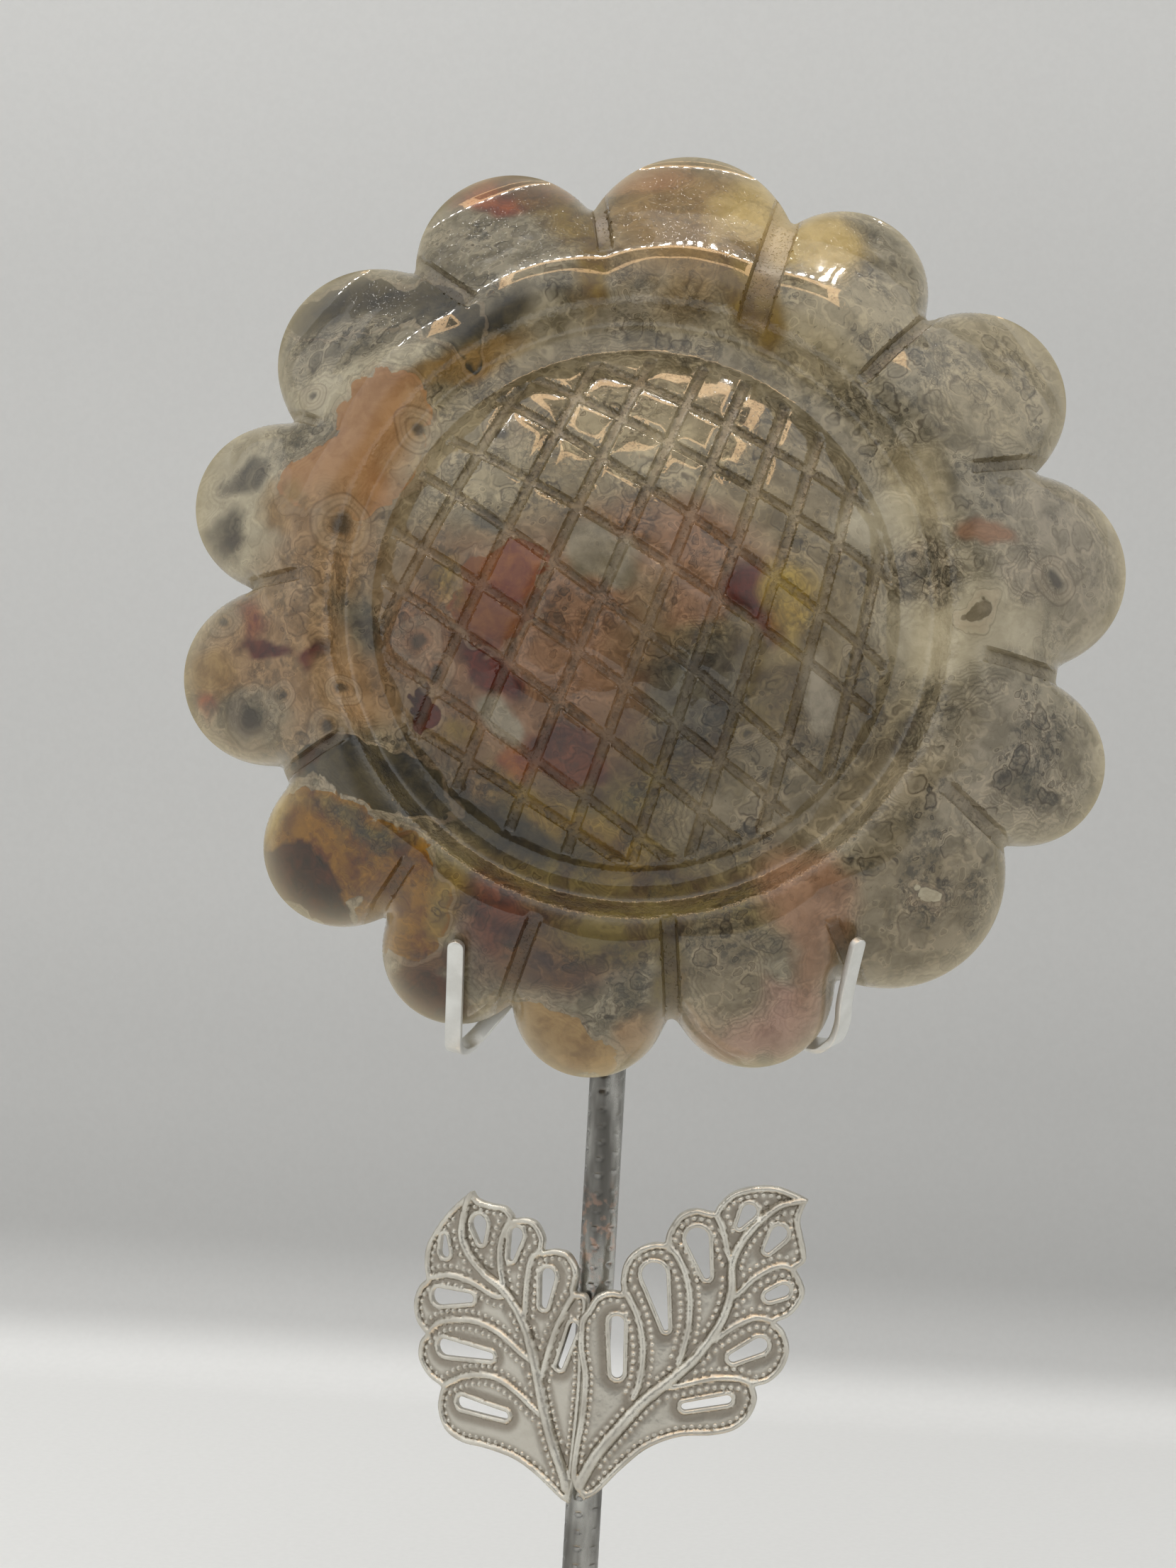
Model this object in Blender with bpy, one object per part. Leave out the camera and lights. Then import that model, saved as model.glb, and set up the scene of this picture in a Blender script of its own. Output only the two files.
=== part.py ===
"""A sunflower carved from one slab of lace agate, held up by two bent strips on a metal flower stand.

Sizes are millimetres and angles are degrees; a mesh is turned into metres when it is made. The flower and the
leaves are drawn in their own planes: x to the right, y up, z towards the viewer.
"""

import math

import bmesh
import bpy
import numpy as np
from mathutils import Vector
from mathutils.geometry import delaunay_2d_cdt

MM = 0.001
GAP = 0.3

# The stand
BASE_RADIUS = 42.0
BASE_THICKNESS = 4.0
BASE_EDGE = 1.0
BASE_SIDES = 48
STEM_RADIUS = 2.2
STEM_SIDES = 14
STEM_BEND_BELOW_CENTRE = 42.0
STEM_BEND_RADIUS = 25.0
STEM_TOP_ABOVE_CENTRE = 8.0
STRIP_WIDTH = 2.0
STRIP_THICKNESS = 1.0
LEAF_BASE_HEIGHT = 39.0
LEAF_THICKNESS = 0.9

# Where the flower stands and how it leans
FLOWER_LEAN = 10.0
FLOWER_SHIFT = 2.8
FLOWER_HEIGHT = 147.5
STRIP_PLANE = -0.85
STEM_PLANE = STRIP_PLANE - STRIP_THICKNESS / 2 - GAP - STEM_RADIUS

# The petals, each a round lobe: heading round the flower, distance of its centre, radius
PETALS = (
    (10.0, 45.7, 11.9),
    (37.5, 47.0, 11.5),
    (63.5, 46.5, 10.5),
    (88.0, 44.5, 13.5),
    (115.5, 47.0, 12.0),
    (141.0, 46.5, 12.3),
    (167.0, 48.0, 10.5),
    (192.5, 47.5, 10.8),
    (220.0, 47.3, 9.8),
    (242.7, 47.2, 9.2),
    (263.5, 47.5, 9.4),
    (287.5, 46.6, 9.85),
    (315.0, 41.8, 14.3),
    (341.0, 47.7, 10.2),
)
NOTCH_REACH = 49.2
NOTCH_ROUNDING = 0.6
POINTS_A_PETAL = 12

# The relief: a dome, a valley, a small step up to the crest of the petals, and their long bevel to the rim
DOME_CENTRE = (-2.5, -1.1)
DOME_EDGE = 31.5
DOME_TOP = 22.6
DOME_CURVE = 48.7
RING_CENTRED_FROM = 50.0
RING_PROFILE = (
    (31.5, 11.0),
    (33.5, 10.5),
    (35.4, 10.7),
    (37.0, 13.6),
    (39.3, 14.2),
    (41.5, 13.9),
    (43.0, 13.3),
    (44.2, 12.4),
    (46.0, 10.9),
    (50.0, 7.6),
    (54.0, 4.3),
    (57.0, 1.9),
    (60.0, 1.7),
)
PETAL_CROWN = 1.5
PETAL_HALF_ANGLE = 13.0
CROWN_FROM = 37.0
CROWN_FULL = 47.0
RIM_MIDDLE = 1.4
RIM_FLAT = 0.2
RIM_FRONT_ROUND = 2.2
RIM_BACK_ROUND = 1.4

# Grooves between the petals: heading at the rim and at the inner end, inner radius, width, depth
PETAL_GROOVES = (
    (24.0, 26.5, 40.0, 1.8, 1.2),
    (50.5, 50.5, 35.5, 2.0, 1.6),
    (75.4, 74.5, 34.3, 4.0, 1.6),
    (101.0, 101.5, 43.0, 2.2, 1.4),
    (128.0, 124.5, 42.0, 2.4, 1.4),
    (154.5, 154.5, 46.0, 1.6, 1.1),
    (180.0, 179.0, 42.0, 1.8, 1.1),
    (207.5, 207.0, 40.0, 1.8, 1.1),
    (231.0, 230.0, 42.0, 2.0, 1.1),
    (252.0, 252.5, 40.0, 2.0, 1.1),
    (275.5, 275.0, 37.5, 2.2, 1.4),
    (301.5, 301.5, 42.5, 2.0, 1.1),
    (328.8, 329.8, 40.0, 2.1, 1.4),
    (353.5, 353.5, 38.5, 2.1, 1.4),
)
GROOVE_REACH = 56.0
GROOVE_WALL = 0.35
GROOVE_END = 2.0
GROOVE_RIM_MARGIN = 1.2

# The two sets of crossing cuts on the dome: heading of the cut, its distance from the dome's centre
STEEP_CUTS = (
    (64.0, 25.3),
    (68.0, 17.2),
    (69.2, 10.6),
    (70.7, 3.7),
    (72.6, -2.6),
    (74.7, -9.1),
    (76.1, -14.8),
    (78.5, -21.2),
    (79.9, -26.7),
)
SLANTING_CUTS = (
    (-25.2, 23.9),
    (-26.7, 18.2),
    (-32.1, 11.4),
    (-30.1, 5.0),
    (-34.6, -2.8),
    (-32.9, -9.4),
    (-33.4, -15.2),
    (-32.6, -22.1),
    (-30.0, -26.4),
)
STEEP_CUT_WIDTH = 1.7
SLANTING_CUT_WIDTH = 1.5
CUT_DEPTH = 0.75
CUT_WALL = 0.5
CUT_REACH = 30.6

# Centre lines of the two holding strips in the flower's own frame, from the stem round the lower edge to the
# tip, with the direction of the strip's width at each point
LEFT_STRIP = (
    ((-3.9, -32.5, STRIP_PLANE), (0.8, -0.6, 0.0)),
    ((-10.2, -41.0, STRIP_PLANE), (0.8, -0.6, 0.0)),
    ((-16.4, -49.0, STRIP_PLANE), (0.8, -0.6, 0.0)),
    ((-19.0, -52.4, -0.65), (0.83, -0.5, 0.1)),
    ((-20.5, -53.9, 0.8), (0.92, -0.35, 0.2)),
    ((-21.3, -53.8, 3.0), (0.97, -0.1, 0.2)),
    ((-21.4, -51.8, 4.9), (0.98, 0.0, 0.21)),
    ((-21.4, -47.7, 7.4), (0.98, 0.0, 0.21)),
    ((-21.4, -42.6, 11.05), (0.98, 0.0, 0.21)),
)
RIGHT_STRIP = (
    ((-1.5, -32.5, STRIP_PLANE), (0.64, 0.77, 0.0)),
    ((7.7, -40.0, STRIP_PLANE), (0.64, 0.77, 0.0)),
    ((16.0, -46.7, STRIP_PLANE), (0.64, 0.77, 0.0)),
    ((21.2, -50.7, -0.85), (0.66, 0.73, -0.1)),
    ((24.0, -50.5, 0.6), (0.74, 0.45, -0.5)),
    ((24.9, -48.4, 3.0), (0.7, 0.2, -0.65)),
    ((24.9, -46.0, 5.6), (0.66, 0.0, -0.75)),
    ((25.2, -43.2, 8.1), (0.64, 0.0, -0.77)),
    ((25.75, -39.6, 11.1), (0.64, 0.0, -0.77)),
)
# How far each step of a strip's rounded tip is past its route's end, and how wide the strip is there
STRIP_TIP = ((0.45, 0.9), (0.75, 0.65), (0.95, 0.3))

# The leaves. Each lobe runs from notch to notch; a slot has two round ends: x, y, radius
RIGHT_LEAF = {
    "lobes": (
        ((0.0, 1.0), (1.7, 2.1), (4.3, 5.0), (7.4, 7.8), (11.2, 9.4), (15.1, 9.7))
        + ((17.8, 10.4), (19.6, 12.0), (20.4, 14.2), (20.0, 15.9)),
        ((20.0, 15.9), (21.8, 16.5), (23.4, 18.2), (24.0, 20.5), (23.3, 22.7), (22.1, 23.9)),
        ((22.1, 23.9), (23.8, 24.7), (25.1, 26.3), (25.5, 27.7), (25.0, 29.1), (24.2, 30.4)),
        ((24.2, 30.4), (25.3, 31.4), (25.3, 32.8), (24.8, 34.7), (24.4, 36.7), (25.2, 39.1)),
        ((25.2, 39.1), (24.1, 39.6), (21.5, 40.5), (18.8, 40.5), (16.1, 39.7), (14.5, 38.2), (13.9, 37.1)),
        ((13.9, 37.1), (13.2, 37.2), (11.5, 37.4), (9.7, 36.6), (8.4, 34.5), (8.1, 33.0)),
        ((8.1, 33.0), (6.6, 32.9), (4.7, 32.0), (3.4, 30.4), (3.0, 28.2), (3.2, 26.8)),
        ((3.2, 26.8), (1.7, 26.9), (0.1, 26.1), (-0.9, 24.4), (-1.7, 23.0), (-1.7, 19.6))
        + ((-1.0, 16.1), (-1.1, 11.4), (-1.6, 6.9), (-1.6, 3.5), (0.0, 1.0)),
    ),
    "slots": (
        ((11.7, 13.2, 0.5), (16.7, 14.2, 0.6)),
        ((17.2, 19.4, 0.6), (20.3, 21.0, 1.0)),
        ((21.2, 27.1, 0.6), (22.8, 27.8, 0.8)),
        ((20.6, 32.8, 0.4), (21.9, 34.8, 1.0)),
        ((17.0, 35.6, 0.3), (18.1, 37.4, 0.9)),
        ((13.4, 29.3, 0.4), (12.0, 33.8, 1.4)),
        ((8.8, 22.6, 0.3), (7.0, 29.1, 1.5)),
        ((3.2, 16.9, 0.7), (2.8, 23.0, 0.9)),
    ),
    "midrib": ((-0.8, 2.6), (1.2, 6.6), (3.8, 10.1), (6.6, 13.6), (9.2, 15.9), (12.3, 18.9))
    + ((14.3, 21.7), (15.8, 24.6), (16.5, 27.9), (16.4, 31.0), (17.5, 33.8), (19.5, 36.3))
    + ((21.9, 38.3), (25.2, 39.1)),
    "veins": (
        ((3.2, 26.9), (4.2, 26.1), (5.6, 22.9), (6.2, 19.3), (5.9, 15.7), (5.3, 13.9)),
        ((8.1, 33.0), (10.0, 31.1), (11.3, 27.6), (11.6, 23.8), (11.1, 20.4), (10.6, 18.5)),
        ((13.9, 37.2), (15.0, 35.0), (15.8, 32.3), (16.4, 30.9)),
        ((20.0, 16.0), (17.9, 16.8), (14.6, 16.7), (10.8, 15.7), (8.9, 15.3)),
        ((22.1, 24.0), (19.7, 24.4), (17.0, 23.2), (14.1, 21.0)),
        ((24.2, 30.4), (22.1, 30.8), (19.4, 29.4), (17.6, 27.6), (16.3, 26.5)),
    ),
    "turn": 0.0,
    "plane": 4.3,
}
LEFT_LEAF = {
    "lobes": (
        ((-1.7, 0.0), (-3.0, 0.6), (-6.2, 2.8), (-9.4, 4.3), (-13.4, 4.9), (-17.2, 5.0))
        + ((-19.9, 6.1), (-21.1, 8.4), (-21.0, 10.2), (-20.7, 11.4)),
        ((-20.7, 11.4), (-23.0, 12.4), (-24.4, 14.4), (-24.2, 16.5), (-23.3, 17.7)),
        ((-23.3, 17.7), (-24.7, 19.1), (-25.2, 21.3), (-24.5, 23.5), (-23.3, 24.7)),
        ((-23.3, 24.7), (-23.7, 27.0), (-23.3, 29.4), (-21.4, 32.5), (-19.3, 34.9), (-17.2, 36.7)),
        ((-17.2, 36.7), (-16.4, 35.8), (-14.4, 35.4), (-12.6, 35.3), (-11.4, 34.3), (-11.4, 33.9)),
        ((-11.4, 33.9), (-9.8, 34.2), (-8.3, 33.8), (-7.1, 32.1), (-7.1, 30.5)),
        ((-7.1, 30.5), (-5.6, 30.9), (-3.7, 30.7), (-2.5, 29.4), (-2.1, 28.1), (-2.4, 26.0)),
        ((-2.4, 26.0), (-1.2, 26.0), (-0.6, 25.2), (-0.6, 23.3), (-0.8, 19.9), (-0.7, 15.7))
        + ((-0.8, 11.6), (-1.1, 6.5), (-1.4, 2.5), (-1.7, 0.0)),
    ),
    "slots": (
        ((-11.0, 9.5, 0.5), (-17.4, 10.0, 0.8)),
        ((-13.5, 16.5, 0.5), (-20.3, 16.5, 1.1)),
        ((-16.8, 23.3, 0.6), (-21.3, 22.8, 1.1)),
        ((-20.7, 28.5, 0.7), (-20.9, 30.3, 0.4)),
        ((-15.6, 30.6, 0.4), (-16.0, 32.7, 1.1)),
        ((-11.3, 29.1, 0.4), (-10.8, 32.0, 0.9)),
        ((-6.5, 23.9, 0.5), (-6.2, 27.5, 1.0)),
        ((-3.9, 16.7, 0.4), (-2.3, 21.7, 0.6)),
    ),
    "midrib": ((-2.1, 2.0), (-2.5, 3.3), (-4.4, 7.5), (-5.8, 11.5), (-6.7, 14.7), (-7.8, 18.2))
    + ((-9.2, 21.6), (-11.9, 24.9), (-14.9, 26.7), (-17.3, 28.9), (-18.4, 31.3))
    + ((-18.0, 34.5), (-17.2, 36.7)),
    "veins": (
        ((-2.3, 26.0), (-3.4, 24.1), (-4.7, 21.1), (-5.7, 17.6), (-6.4, 14.2)),
        ((-6.9, 30.6), (-8.4, 29.5), (-8.9, 27.2), (-9.0, 23.9), (-9.0, 21.4)),
        ((-11.2, 33.9), (-12.3, 32.7), (-12.9, 30.3), (-12.7, 27.6), (-12.0, 25.1)),
        ((-20.5, 11.5), (-17.1, 13.4), (-13.0, 14.0), (-9.8, 12.8), (-7.1, 11.0), (-6.0, 10.3)),
        ((-23.1, 17.8), (-20.7, 19.7), (-16.3, 20.5), (-12.7, 19.7), (-9.4, 17.7), (-7.8, 16.8)),
        ((-23.2, 24.8), (-19.9, 25.7), (-16.5, 25.3), (-13.3, 24.1), (-11.7, 24.3)),
    ),
    "turn": 22.0,
    "plane": 3.1,
}
MIDRIB_HALF_WIDTH = 0.8
MIDRIB_RISE = 0.55
VEIN_HALF_WIDTH = 0.5
VEIN_RISE = 0.35
LEAF_CURL = 0.004
LEAF_CURL_FROM = 4.0
LEAF_CUP = 0.006
LEAF_STEPS_A_SPAN = 2
RIB_EDGE_CLEARANCE = 0.35
SLOT_END_POINTS = 5


def smooth_step(value, low, high):
    """0 below low, 1 above high, and a smooth rise between."""
    part = np.clip((value - low) / (high - low), 0.0, 1.0)
    return part * part * (3.0 - 2.0 * part)


def spline(points, steps):
    """A smooth open curve through points, with this many steps from each to the next."""
    points = np.array(points, float)
    ends = np.concatenate([[2 * points[0] - points[1]], points, [2 * points[-1] - points[-2]]])
    curve = []
    for start in range(len(points) - 1):
        before, here, there, after = ends[start : start + 4]
        for step in range(steps):
            part = step / steps
            curve.append(
                here
                + 0.5 * part * (there - before)
                + part**2 * (before - 2.5 * here + 2 * there - 0.5 * after)
                + part**3 * (1.5 * (here - there) + 0.5 * (after - before))
            )
    curve.append(points[-1])
    return np.array(curve)


def closed(loop):
    return np.vstack([loop, loop[:1]])


def distance_to_line(points, line):
    """Distance from each point to a polyline, both in one plane."""
    best = np.full(len(points), np.inf)
    for start, end in zip(line[:-1], line[1:]):
        along = end - start
        part = np.clip(((points - start) @ along) / max(along @ along, 1e-12), 0.0, 1.0)
        best = np.minimum(best, np.hypot(*(points - start - part[:, None] * along).T))
    return best


def inside(points, loops):
    """Whether each point is inside an odd number of the loops."""
    odd = np.zeros(len(points), bool)
    for loop in loops:
        for (x0, y0), (x1, y1) in zip(loop, np.roll(loop, -1, axis=0)):
            crosses = (y0 > points[:, 1]) != (y1 > points[:, 1])
            if y0 != y1:
                odd ^= crosses & (points[:, 0] < x0 + (points[:, 1] - y0) * (x1 - x0) / (y1 - y0))
    return odd


def triangulate(loops, lines):
    """Triangles that fill the loops and follow the lines: points, faces, and where each loop point went."""
    points = []
    edges = []
    for loop in loops:
        first = len(points)
        points += [Vector(point) for point in loop]
        edges += [(first + i, first + (i + 1) % len(loop)) for i in range(len(loop))]
    rim = len(points)
    for line in lines:
        first = len(points)
        points += [Vector(point) for point in line]
        edges += [(first + i, first + i + 1) for i in range(len(line) - 1)]
    found, _, faces, origins, _, _ = delaunay_2d_cdt(points, edges, [], 0, 0.01)
    flat = np.array([tuple(point) for point in found])
    faces = np.array([tuple(face) for face in faces])
    faces = faces[inside(flat[faces].mean(axis=1), loops)]
    place = {source: index for index, sources in enumerate(origins) for source in sources if source < rim}
    return flat, faces, [place[index] for index in range(rim)]


def make_object(name, points, faces, material):
    mesh = bpy.data.meshes.new(name)
    mesh.from_pydata([Vector(point) * MM for point in points], [], [tuple(map(int, face)) for face in faces])
    work = bmesh.new()
    work.from_mesh(mesh)
    loose = [vert for vert in work.verts if not vert.link_faces]
    bmesh.ops.delete(work, geom=loose, context="VERTS")
    bmesh.ops.recalc_face_normals(work, faces=work.faces)
    work.to_mesh(mesh)
    work.free()
    mesh.shade_smooth()
    mesh.set_sharp_from_angle(angle=math.radians(35))
    mesh.materials.append(material)
    made = bpy.data.objects.new(name, mesh)
    bpy.context.collection.objects.link(made)
    return made


def make_plate(name, loops, front_lines, back_lines, front, back, material):
    """A closed plate whose outline and holes are the loops, between two heights over its plane."""
    top, top_faces, top_rim = triangulate(loops, front_lines)
    low, low_faces, low_rim = triangulate(loops, back_lines)
    points = np.concatenate([np.c_[top, front(top)], np.c_[low, back(low)]])
    faces = list(top_faces) + list(low_faces[:, ::-1] + len(top))
    first = 0
    for loop in loops:
        for step in range(len(loop)):
            here, there = first + step, first + (step + 1) % len(loop)
            faces.append((top_rim[here], low_rim[here] + len(top), low_rim[there] + len(top), top_rim[there]))
        first += len(loop)
    return make_object(name, points, faces, material)


def petal_reach(heading):
    """Distance of the outline from the flower's middle, with the notches between lobes a little rounded."""
    total = np.full_like(heading, math.exp((NOTCH_REACH - RING_CENTRED_FROM) / NOTCH_ROUNDING))
    for petal, distance, radius in PETALS:
        turn = (heading - math.radians(petal) + math.pi) % (2 * math.pi) - math.pi
        side = distance * np.sin(turn)
        reaches = (np.abs(side) < radius) & (np.cos(turn) > 0)
        reach = distance * np.cos(turn) + np.sqrt(np.clip(radius**2 - side**2, 0, None))
        total += np.where(reaches, np.exp((reach - RING_CENTRED_FROM) / NOTCH_ROUNDING), 0)
    return RING_CENTRED_FROM + NOTCH_ROUNDING * np.log(total)


def flower_outline(shrink=0.0):
    headings = np.linspace(0, 2 * math.pi, len(PETALS) * POINTS_A_PETAL, endpoint=False)
    reach = petal_reach(headings) - shrink
    return np.c_[reach * np.cos(headings), reach * np.sin(headings)]


def ring_of(points):
    """Which ring a point is on. Small rings are centred on the dome and large ones on the flower."""
    ring = np.hypot(*points.T)
    for _ in range(8):
        pull = 1.0 - smooth_step(ring, DOME_EDGE, RING_CENTRED_FROM)
        ring = np.hypot(points[:, 0] - DOME_CENTRE[0] * pull, points[:, 1] - DOME_CENTRE[1] * pull)
    return ring


def ring_line(ring, sides):
    pull = 1.0 - smooth_step(ring, DOME_EDGE, RING_CENTRED_FROM)
    turn = np.linspace(0, 2 * math.pi, sides + 1)
    return np.c_[DOME_CENTRE[0] * pull + ring * np.cos(turn), DOME_CENTRE[1] * pull + ring * np.sin(turn)]


def ring_height(ring):
    dome = DOME_TOP - DOME_CURVE + np.sqrt(DOME_CURVE**2 - np.clip(ring, 0, DOME_EDGE) ** 2)
    profile = spline(RING_PROFILE, 8)
    return np.where(ring < DOME_EDGE, dome, np.interp(ring, profile[:, 0], profile[:, 1]))


def crown_drop(points, ring):
    """How much lower a petal is towards its two sides than along its middle."""
    heading = np.degrees(np.arctan2(points[:, 1], points[:, 0])) % 360
    off = np.min([np.abs((heading - petal + 180) % 360 - 180) for petal, _, _ in PETALS], axis=0)
    drop = PETAL_CROWN * np.clip(off / PETAL_HALF_ANGLE, 0, 1.2) ** 2
    return drop * smooth_step(ring, CROWN_FROM, CROWN_FULL)


def polar(radius, heading):
    return np.array((radius * math.cos(math.radians(heading)), radius * math.sin(math.radians(heading))))


def along_and_across(points, start, end):
    """Distance along a straight cut and across it."""
    direction = (end - start) / np.hypot(*(end - start))
    offset = points - start
    return offset @ direction, offset[:, 0] * -direction[1] + offset[:, 1] * direction[0]


def petal_groove_depth(points):
    depth = np.zeros(len(points))
    for rim_heading, inner_heading, inner, width, deep in PETAL_GROOVES:
        start, end = polar(inner, inner_heading), polar(GROOVE_REACH, rim_heading)
        along, across = along_and_across(points, start, end)
        wall = 1.0 - smooth_step(np.abs(across), width / 2 - GROOVE_WALL, width / 2)
        depth = np.maximum(depth, deep * wall * smooth_step(along, 0.0, GROOVE_END))
    return depth


def cut_line(heading, offset):
    """The two ends of a straight cut on the dome."""
    direction = np.array((math.cos(math.radians(heading)), math.sin(math.radians(heading))))
    middle = np.array(DOME_CENTRE) + offset * np.array((-direction[1], direction[0]))
    half = math.sqrt(CUT_REACH**2 - offset**2)
    return middle - half * direction, middle + half * direction


def dome_cut_depth(points, ring):
    depth = np.zeros(len(points))
    for cuts, width in ((STEEP_CUTS, STEEP_CUT_WIDTH), (SLANTING_CUTS, SLANTING_CUT_WIDTH)):
        for heading, offset in cuts:
            _, across = along_and_across(points, *cut_line(heading, offset))
            wall = 1.0 - smooth_step(np.abs(across), width / 2 - CUT_WALL, width / 2)
            depth = np.maximum(depth, CUT_DEPTH * wall)
    return depth * (1.0 - smooth_step(ring, CUT_REACH - 0.6, CUT_REACH))


def flower_front(points):
    ring = ring_of(points)
    height = ring_height(ring) - crown_drop(points, ring)
    height -= np.maximum(petal_groove_depth(points), dome_cut_depth(points, ring))
    edge = np.clip(distance_to_line(points, closed(flower_outline())) / RIM_FRONT_ROUND, 0, 1)
    base = RIM_MIDDLE + RIM_FLAT
    return base + (height - base) * np.sqrt(1 - (1 - edge) ** 2)


def flower_back(points):
    edge = np.clip(distance_to_line(points, closed(flower_outline())) / RIM_BACK_ROUND, 0, 1)
    return (RIM_MIDDLE - RIM_FLAT) * (1 - np.sqrt(1 - (1 - edge) ** 2))


def groove_lines():
    """The lips and floor edges of every groove between petals, kept inside the rim."""
    lines = []
    for rim_heading, inner_heading, inner, width, _ in PETAL_GROOVES:
        start, end = polar(inner, inner_heading), polar(GROOVE_REACH, rim_heading)
        length = np.hypot(*(end - start))
        along = (end - start) / length
        across = np.array((-along[1], along[0]))
        for side in (-width / 2, GROOVE_WALL - width / 2, width / 2 - GROOVE_WALL, width / 2):
            reach = np.array([start + side * across + step * along for step in np.linspace(0, length, 30)])
            limit = petal_reach(np.arctan2(reach[:, 1], reach[:, 0])) - GROOVE_RIM_MARGIN
            kept = reach[np.hypot(*reach.T) < limit]
            lines.append(spline(kept[[0, len(kept) // 2, -1]], 2))
    return lines


def cut_lines():
    """The lips and floor edges of every cut on the dome."""
    lines = []
    for cuts, width in ((STEEP_CUTS, STEEP_CUT_WIDTH), (SLANTING_CUTS, SLANTING_CUT_WIDTH)):
        for heading, offset in cuts:
            for side in (-width / 2, CUT_WALL - width / 2, width / 2 - CUT_WALL, width / 2):
                if abs(offset + side) < CUT_REACH - 0.5:
                    lines.append(np.array(cut_line(heading, offset + side)))
    return lines


def make_flower(material):
    outline = flower_outline()
    shoulders = [closed(flower_outline(shrink)) for shrink in (0.5, 1.5)]
    steps = ((DOME_EDGE, 64), (35.4, 48), (37.0, 56), (41.5, 70), (44.2, 70))
    crest = [ring_line(ring, sides) for ring, sides in steps]
    dome = [ring_line(CUT_REACH, 64)]
    back_rings = [ring_line(ring, sides) for ring, sides in ((15.0, 16), (30.0, 28), (44.0, 42))]
    flower = make_plate(
        "agate_flower",
        [outline],
        shoulders + crest + dome + groove_lines() + cut_lines(),
        shoulders + back_rings,
        flower_front,
        flower_back,
        material,
    )
    place_in_flower_frame(flower)
    return flower


def place_in_flower_frame(made):
    """Leans a piece drawn in the flower's frame back and lifts it to its place on the stand."""
    lean = math.radians(FLOWER_LEAN)
    back = STEM_BEND_BELOW_CENTRE * math.sin(lean) + STEM_PLANE * math.cos(lean)
    made.rotation_euler = (math.pi / 2 - lean, 0, 0)
    made.location = Vector((FLOWER_SHIFT, back, FLOWER_HEIGHT)) * MM


def ring_faces(sections, sides):
    """Side faces between sections of as many points, and the two end faces."""
    faces = [tuple(range(sides))[::-1], tuple(range((sections - 1) * sides, sections * sides))]
    for section in range(sections - 1):
        for side in range(sides):
            here, there = section * sides + side, section * sides + (side + 1) % sides
            faces.append((here, there, there + sides, here + sides))
    return faces


def make_strip(name, route, material):
    """A flat metal strip along a route, with a rounded tip."""
    path = spline([point for point, _ in route], 4)
    widths = spline([width for _, width in route], 4)
    tangents = np.gradient(path, axis=0)
    tip = path[-1] + np.outer([past for past, _ in STRIP_TIP], tangents[-1] / np.linalg.norm(tangents[-1]))
    path = np.vstack([path, tip])
    widths = np.vstack([widths, np.repeat(widths[-1:], len(tip), axis=0)])
    tangents = np.gradient(path, axis=0)
    narrowing = [1.0] * (len(path) - len(tip)) + [narrow for _, narrow in STRIP_TIP]
    points = []
    for middle, width, tangent, part in zip(path, widths, tangents, narrowing):
        tangent = tangent / np.linalg.norm(tangent)
        width = width - (width @ tangent) * tangent
        width *= part * STRIP_WIDTH / 2 / np.linalg.norm(width)
        depth = np.cross(tangent, width)
        depth *= STRIP_THICKNESS / 2 / np.linalg.norm(depth)
        for side, face in ((-1, -1), (1, -1), (1, 1), (-1, 1)):
            points.append(middle + side * width + face * depth)
    strip = make_object(name, points, ring_faces(len(path), 4), material)
    place_in_flower_frame(strip)
    return strip


def stem_route():
    """The stem's axis: straight up from the base, then bent to lie along the flower's back."""
    lean = math.radians(FLOWER_LEAN)
    bend_height = FLOWER_HEIGHT - STEM_BEND_BELOW_CENTRE * math.cos(lean) + STEM_PLANE * math.sin(lean)
    half = STEM_BEND_RADIUS * math.tan(lean / 2)
    route = [(0, 0, BASE_THICKNESS + GAP), (0, 0, LEAF_BASE_HEIGHT), (0, 0, bend_height - half)]
    for step in range(1, 5):
        turn = lean * step / 4
        back = STEM_BEND_RADIUS * (1 - math.cos(turn))
        route.append((0, back, bend_height - half + STEM_BEND_RADIUS * math.sin(turn)))
    straight = STEM_BEND_BELOW_CENTRE + STEM_TOP_ABOVE_CENTRE - half
    last = route[-1]
    route.append((0, last[1] + straight * math.sin(lean), last[2] + straight * math.cos(lean)))
    return np.array(route)


def make_stem(material):
    route = stem_route()
    tangents = np.gradient(route, axis=0)
    points = []
    for middle, tangent in zip(route, tangents):
        up = tangent / np.linalg.norm(tangent)
        forward = np.cross(up, (1.0, 0.0, 0.0))
        for side in range(STEM_SIDES):
            turn = 2 * math.pi * side / STEM_SIDES
            outward = math.cos(turn) * np.array((1.0, 0.0, 0.0)) + math.sin(turn) * forward
            points.append(middle + STEM_RADIUS * outward)
    return make_object("stem", points, ring_faces(len(route), STEM_SIDES), material)


def make_base(material):
    """A plain round foot with a rounded upper edge."""
    profile = [(BASE_RADIUS, 0.0), (BASE_RADIUS, BASE_THICKNESS - BASE_EDGE)]
    for step in (1, 2, 3):
        turn = math.pi / 2 * step / 3
        out, up = BASE_EDGE * math.cos(turn), BASE_EDGE * math.sin(turn)
        profile.append((BASE_RADIUS - BASE_EDGE + out, BASE_THICKNESS - BASE_EDGE + up))
    points = []
    for radius, height in profile:
        for side in range(BASE_SIDES):
            turn = 2 * math.pi * side / BASE_SIDES
            points.append((radius * math.cos(turn), radius * math.sin(turn), height))
    return make_object("base_disc", points, ring_faces(len(profile), BASE_SIDES), material)


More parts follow.
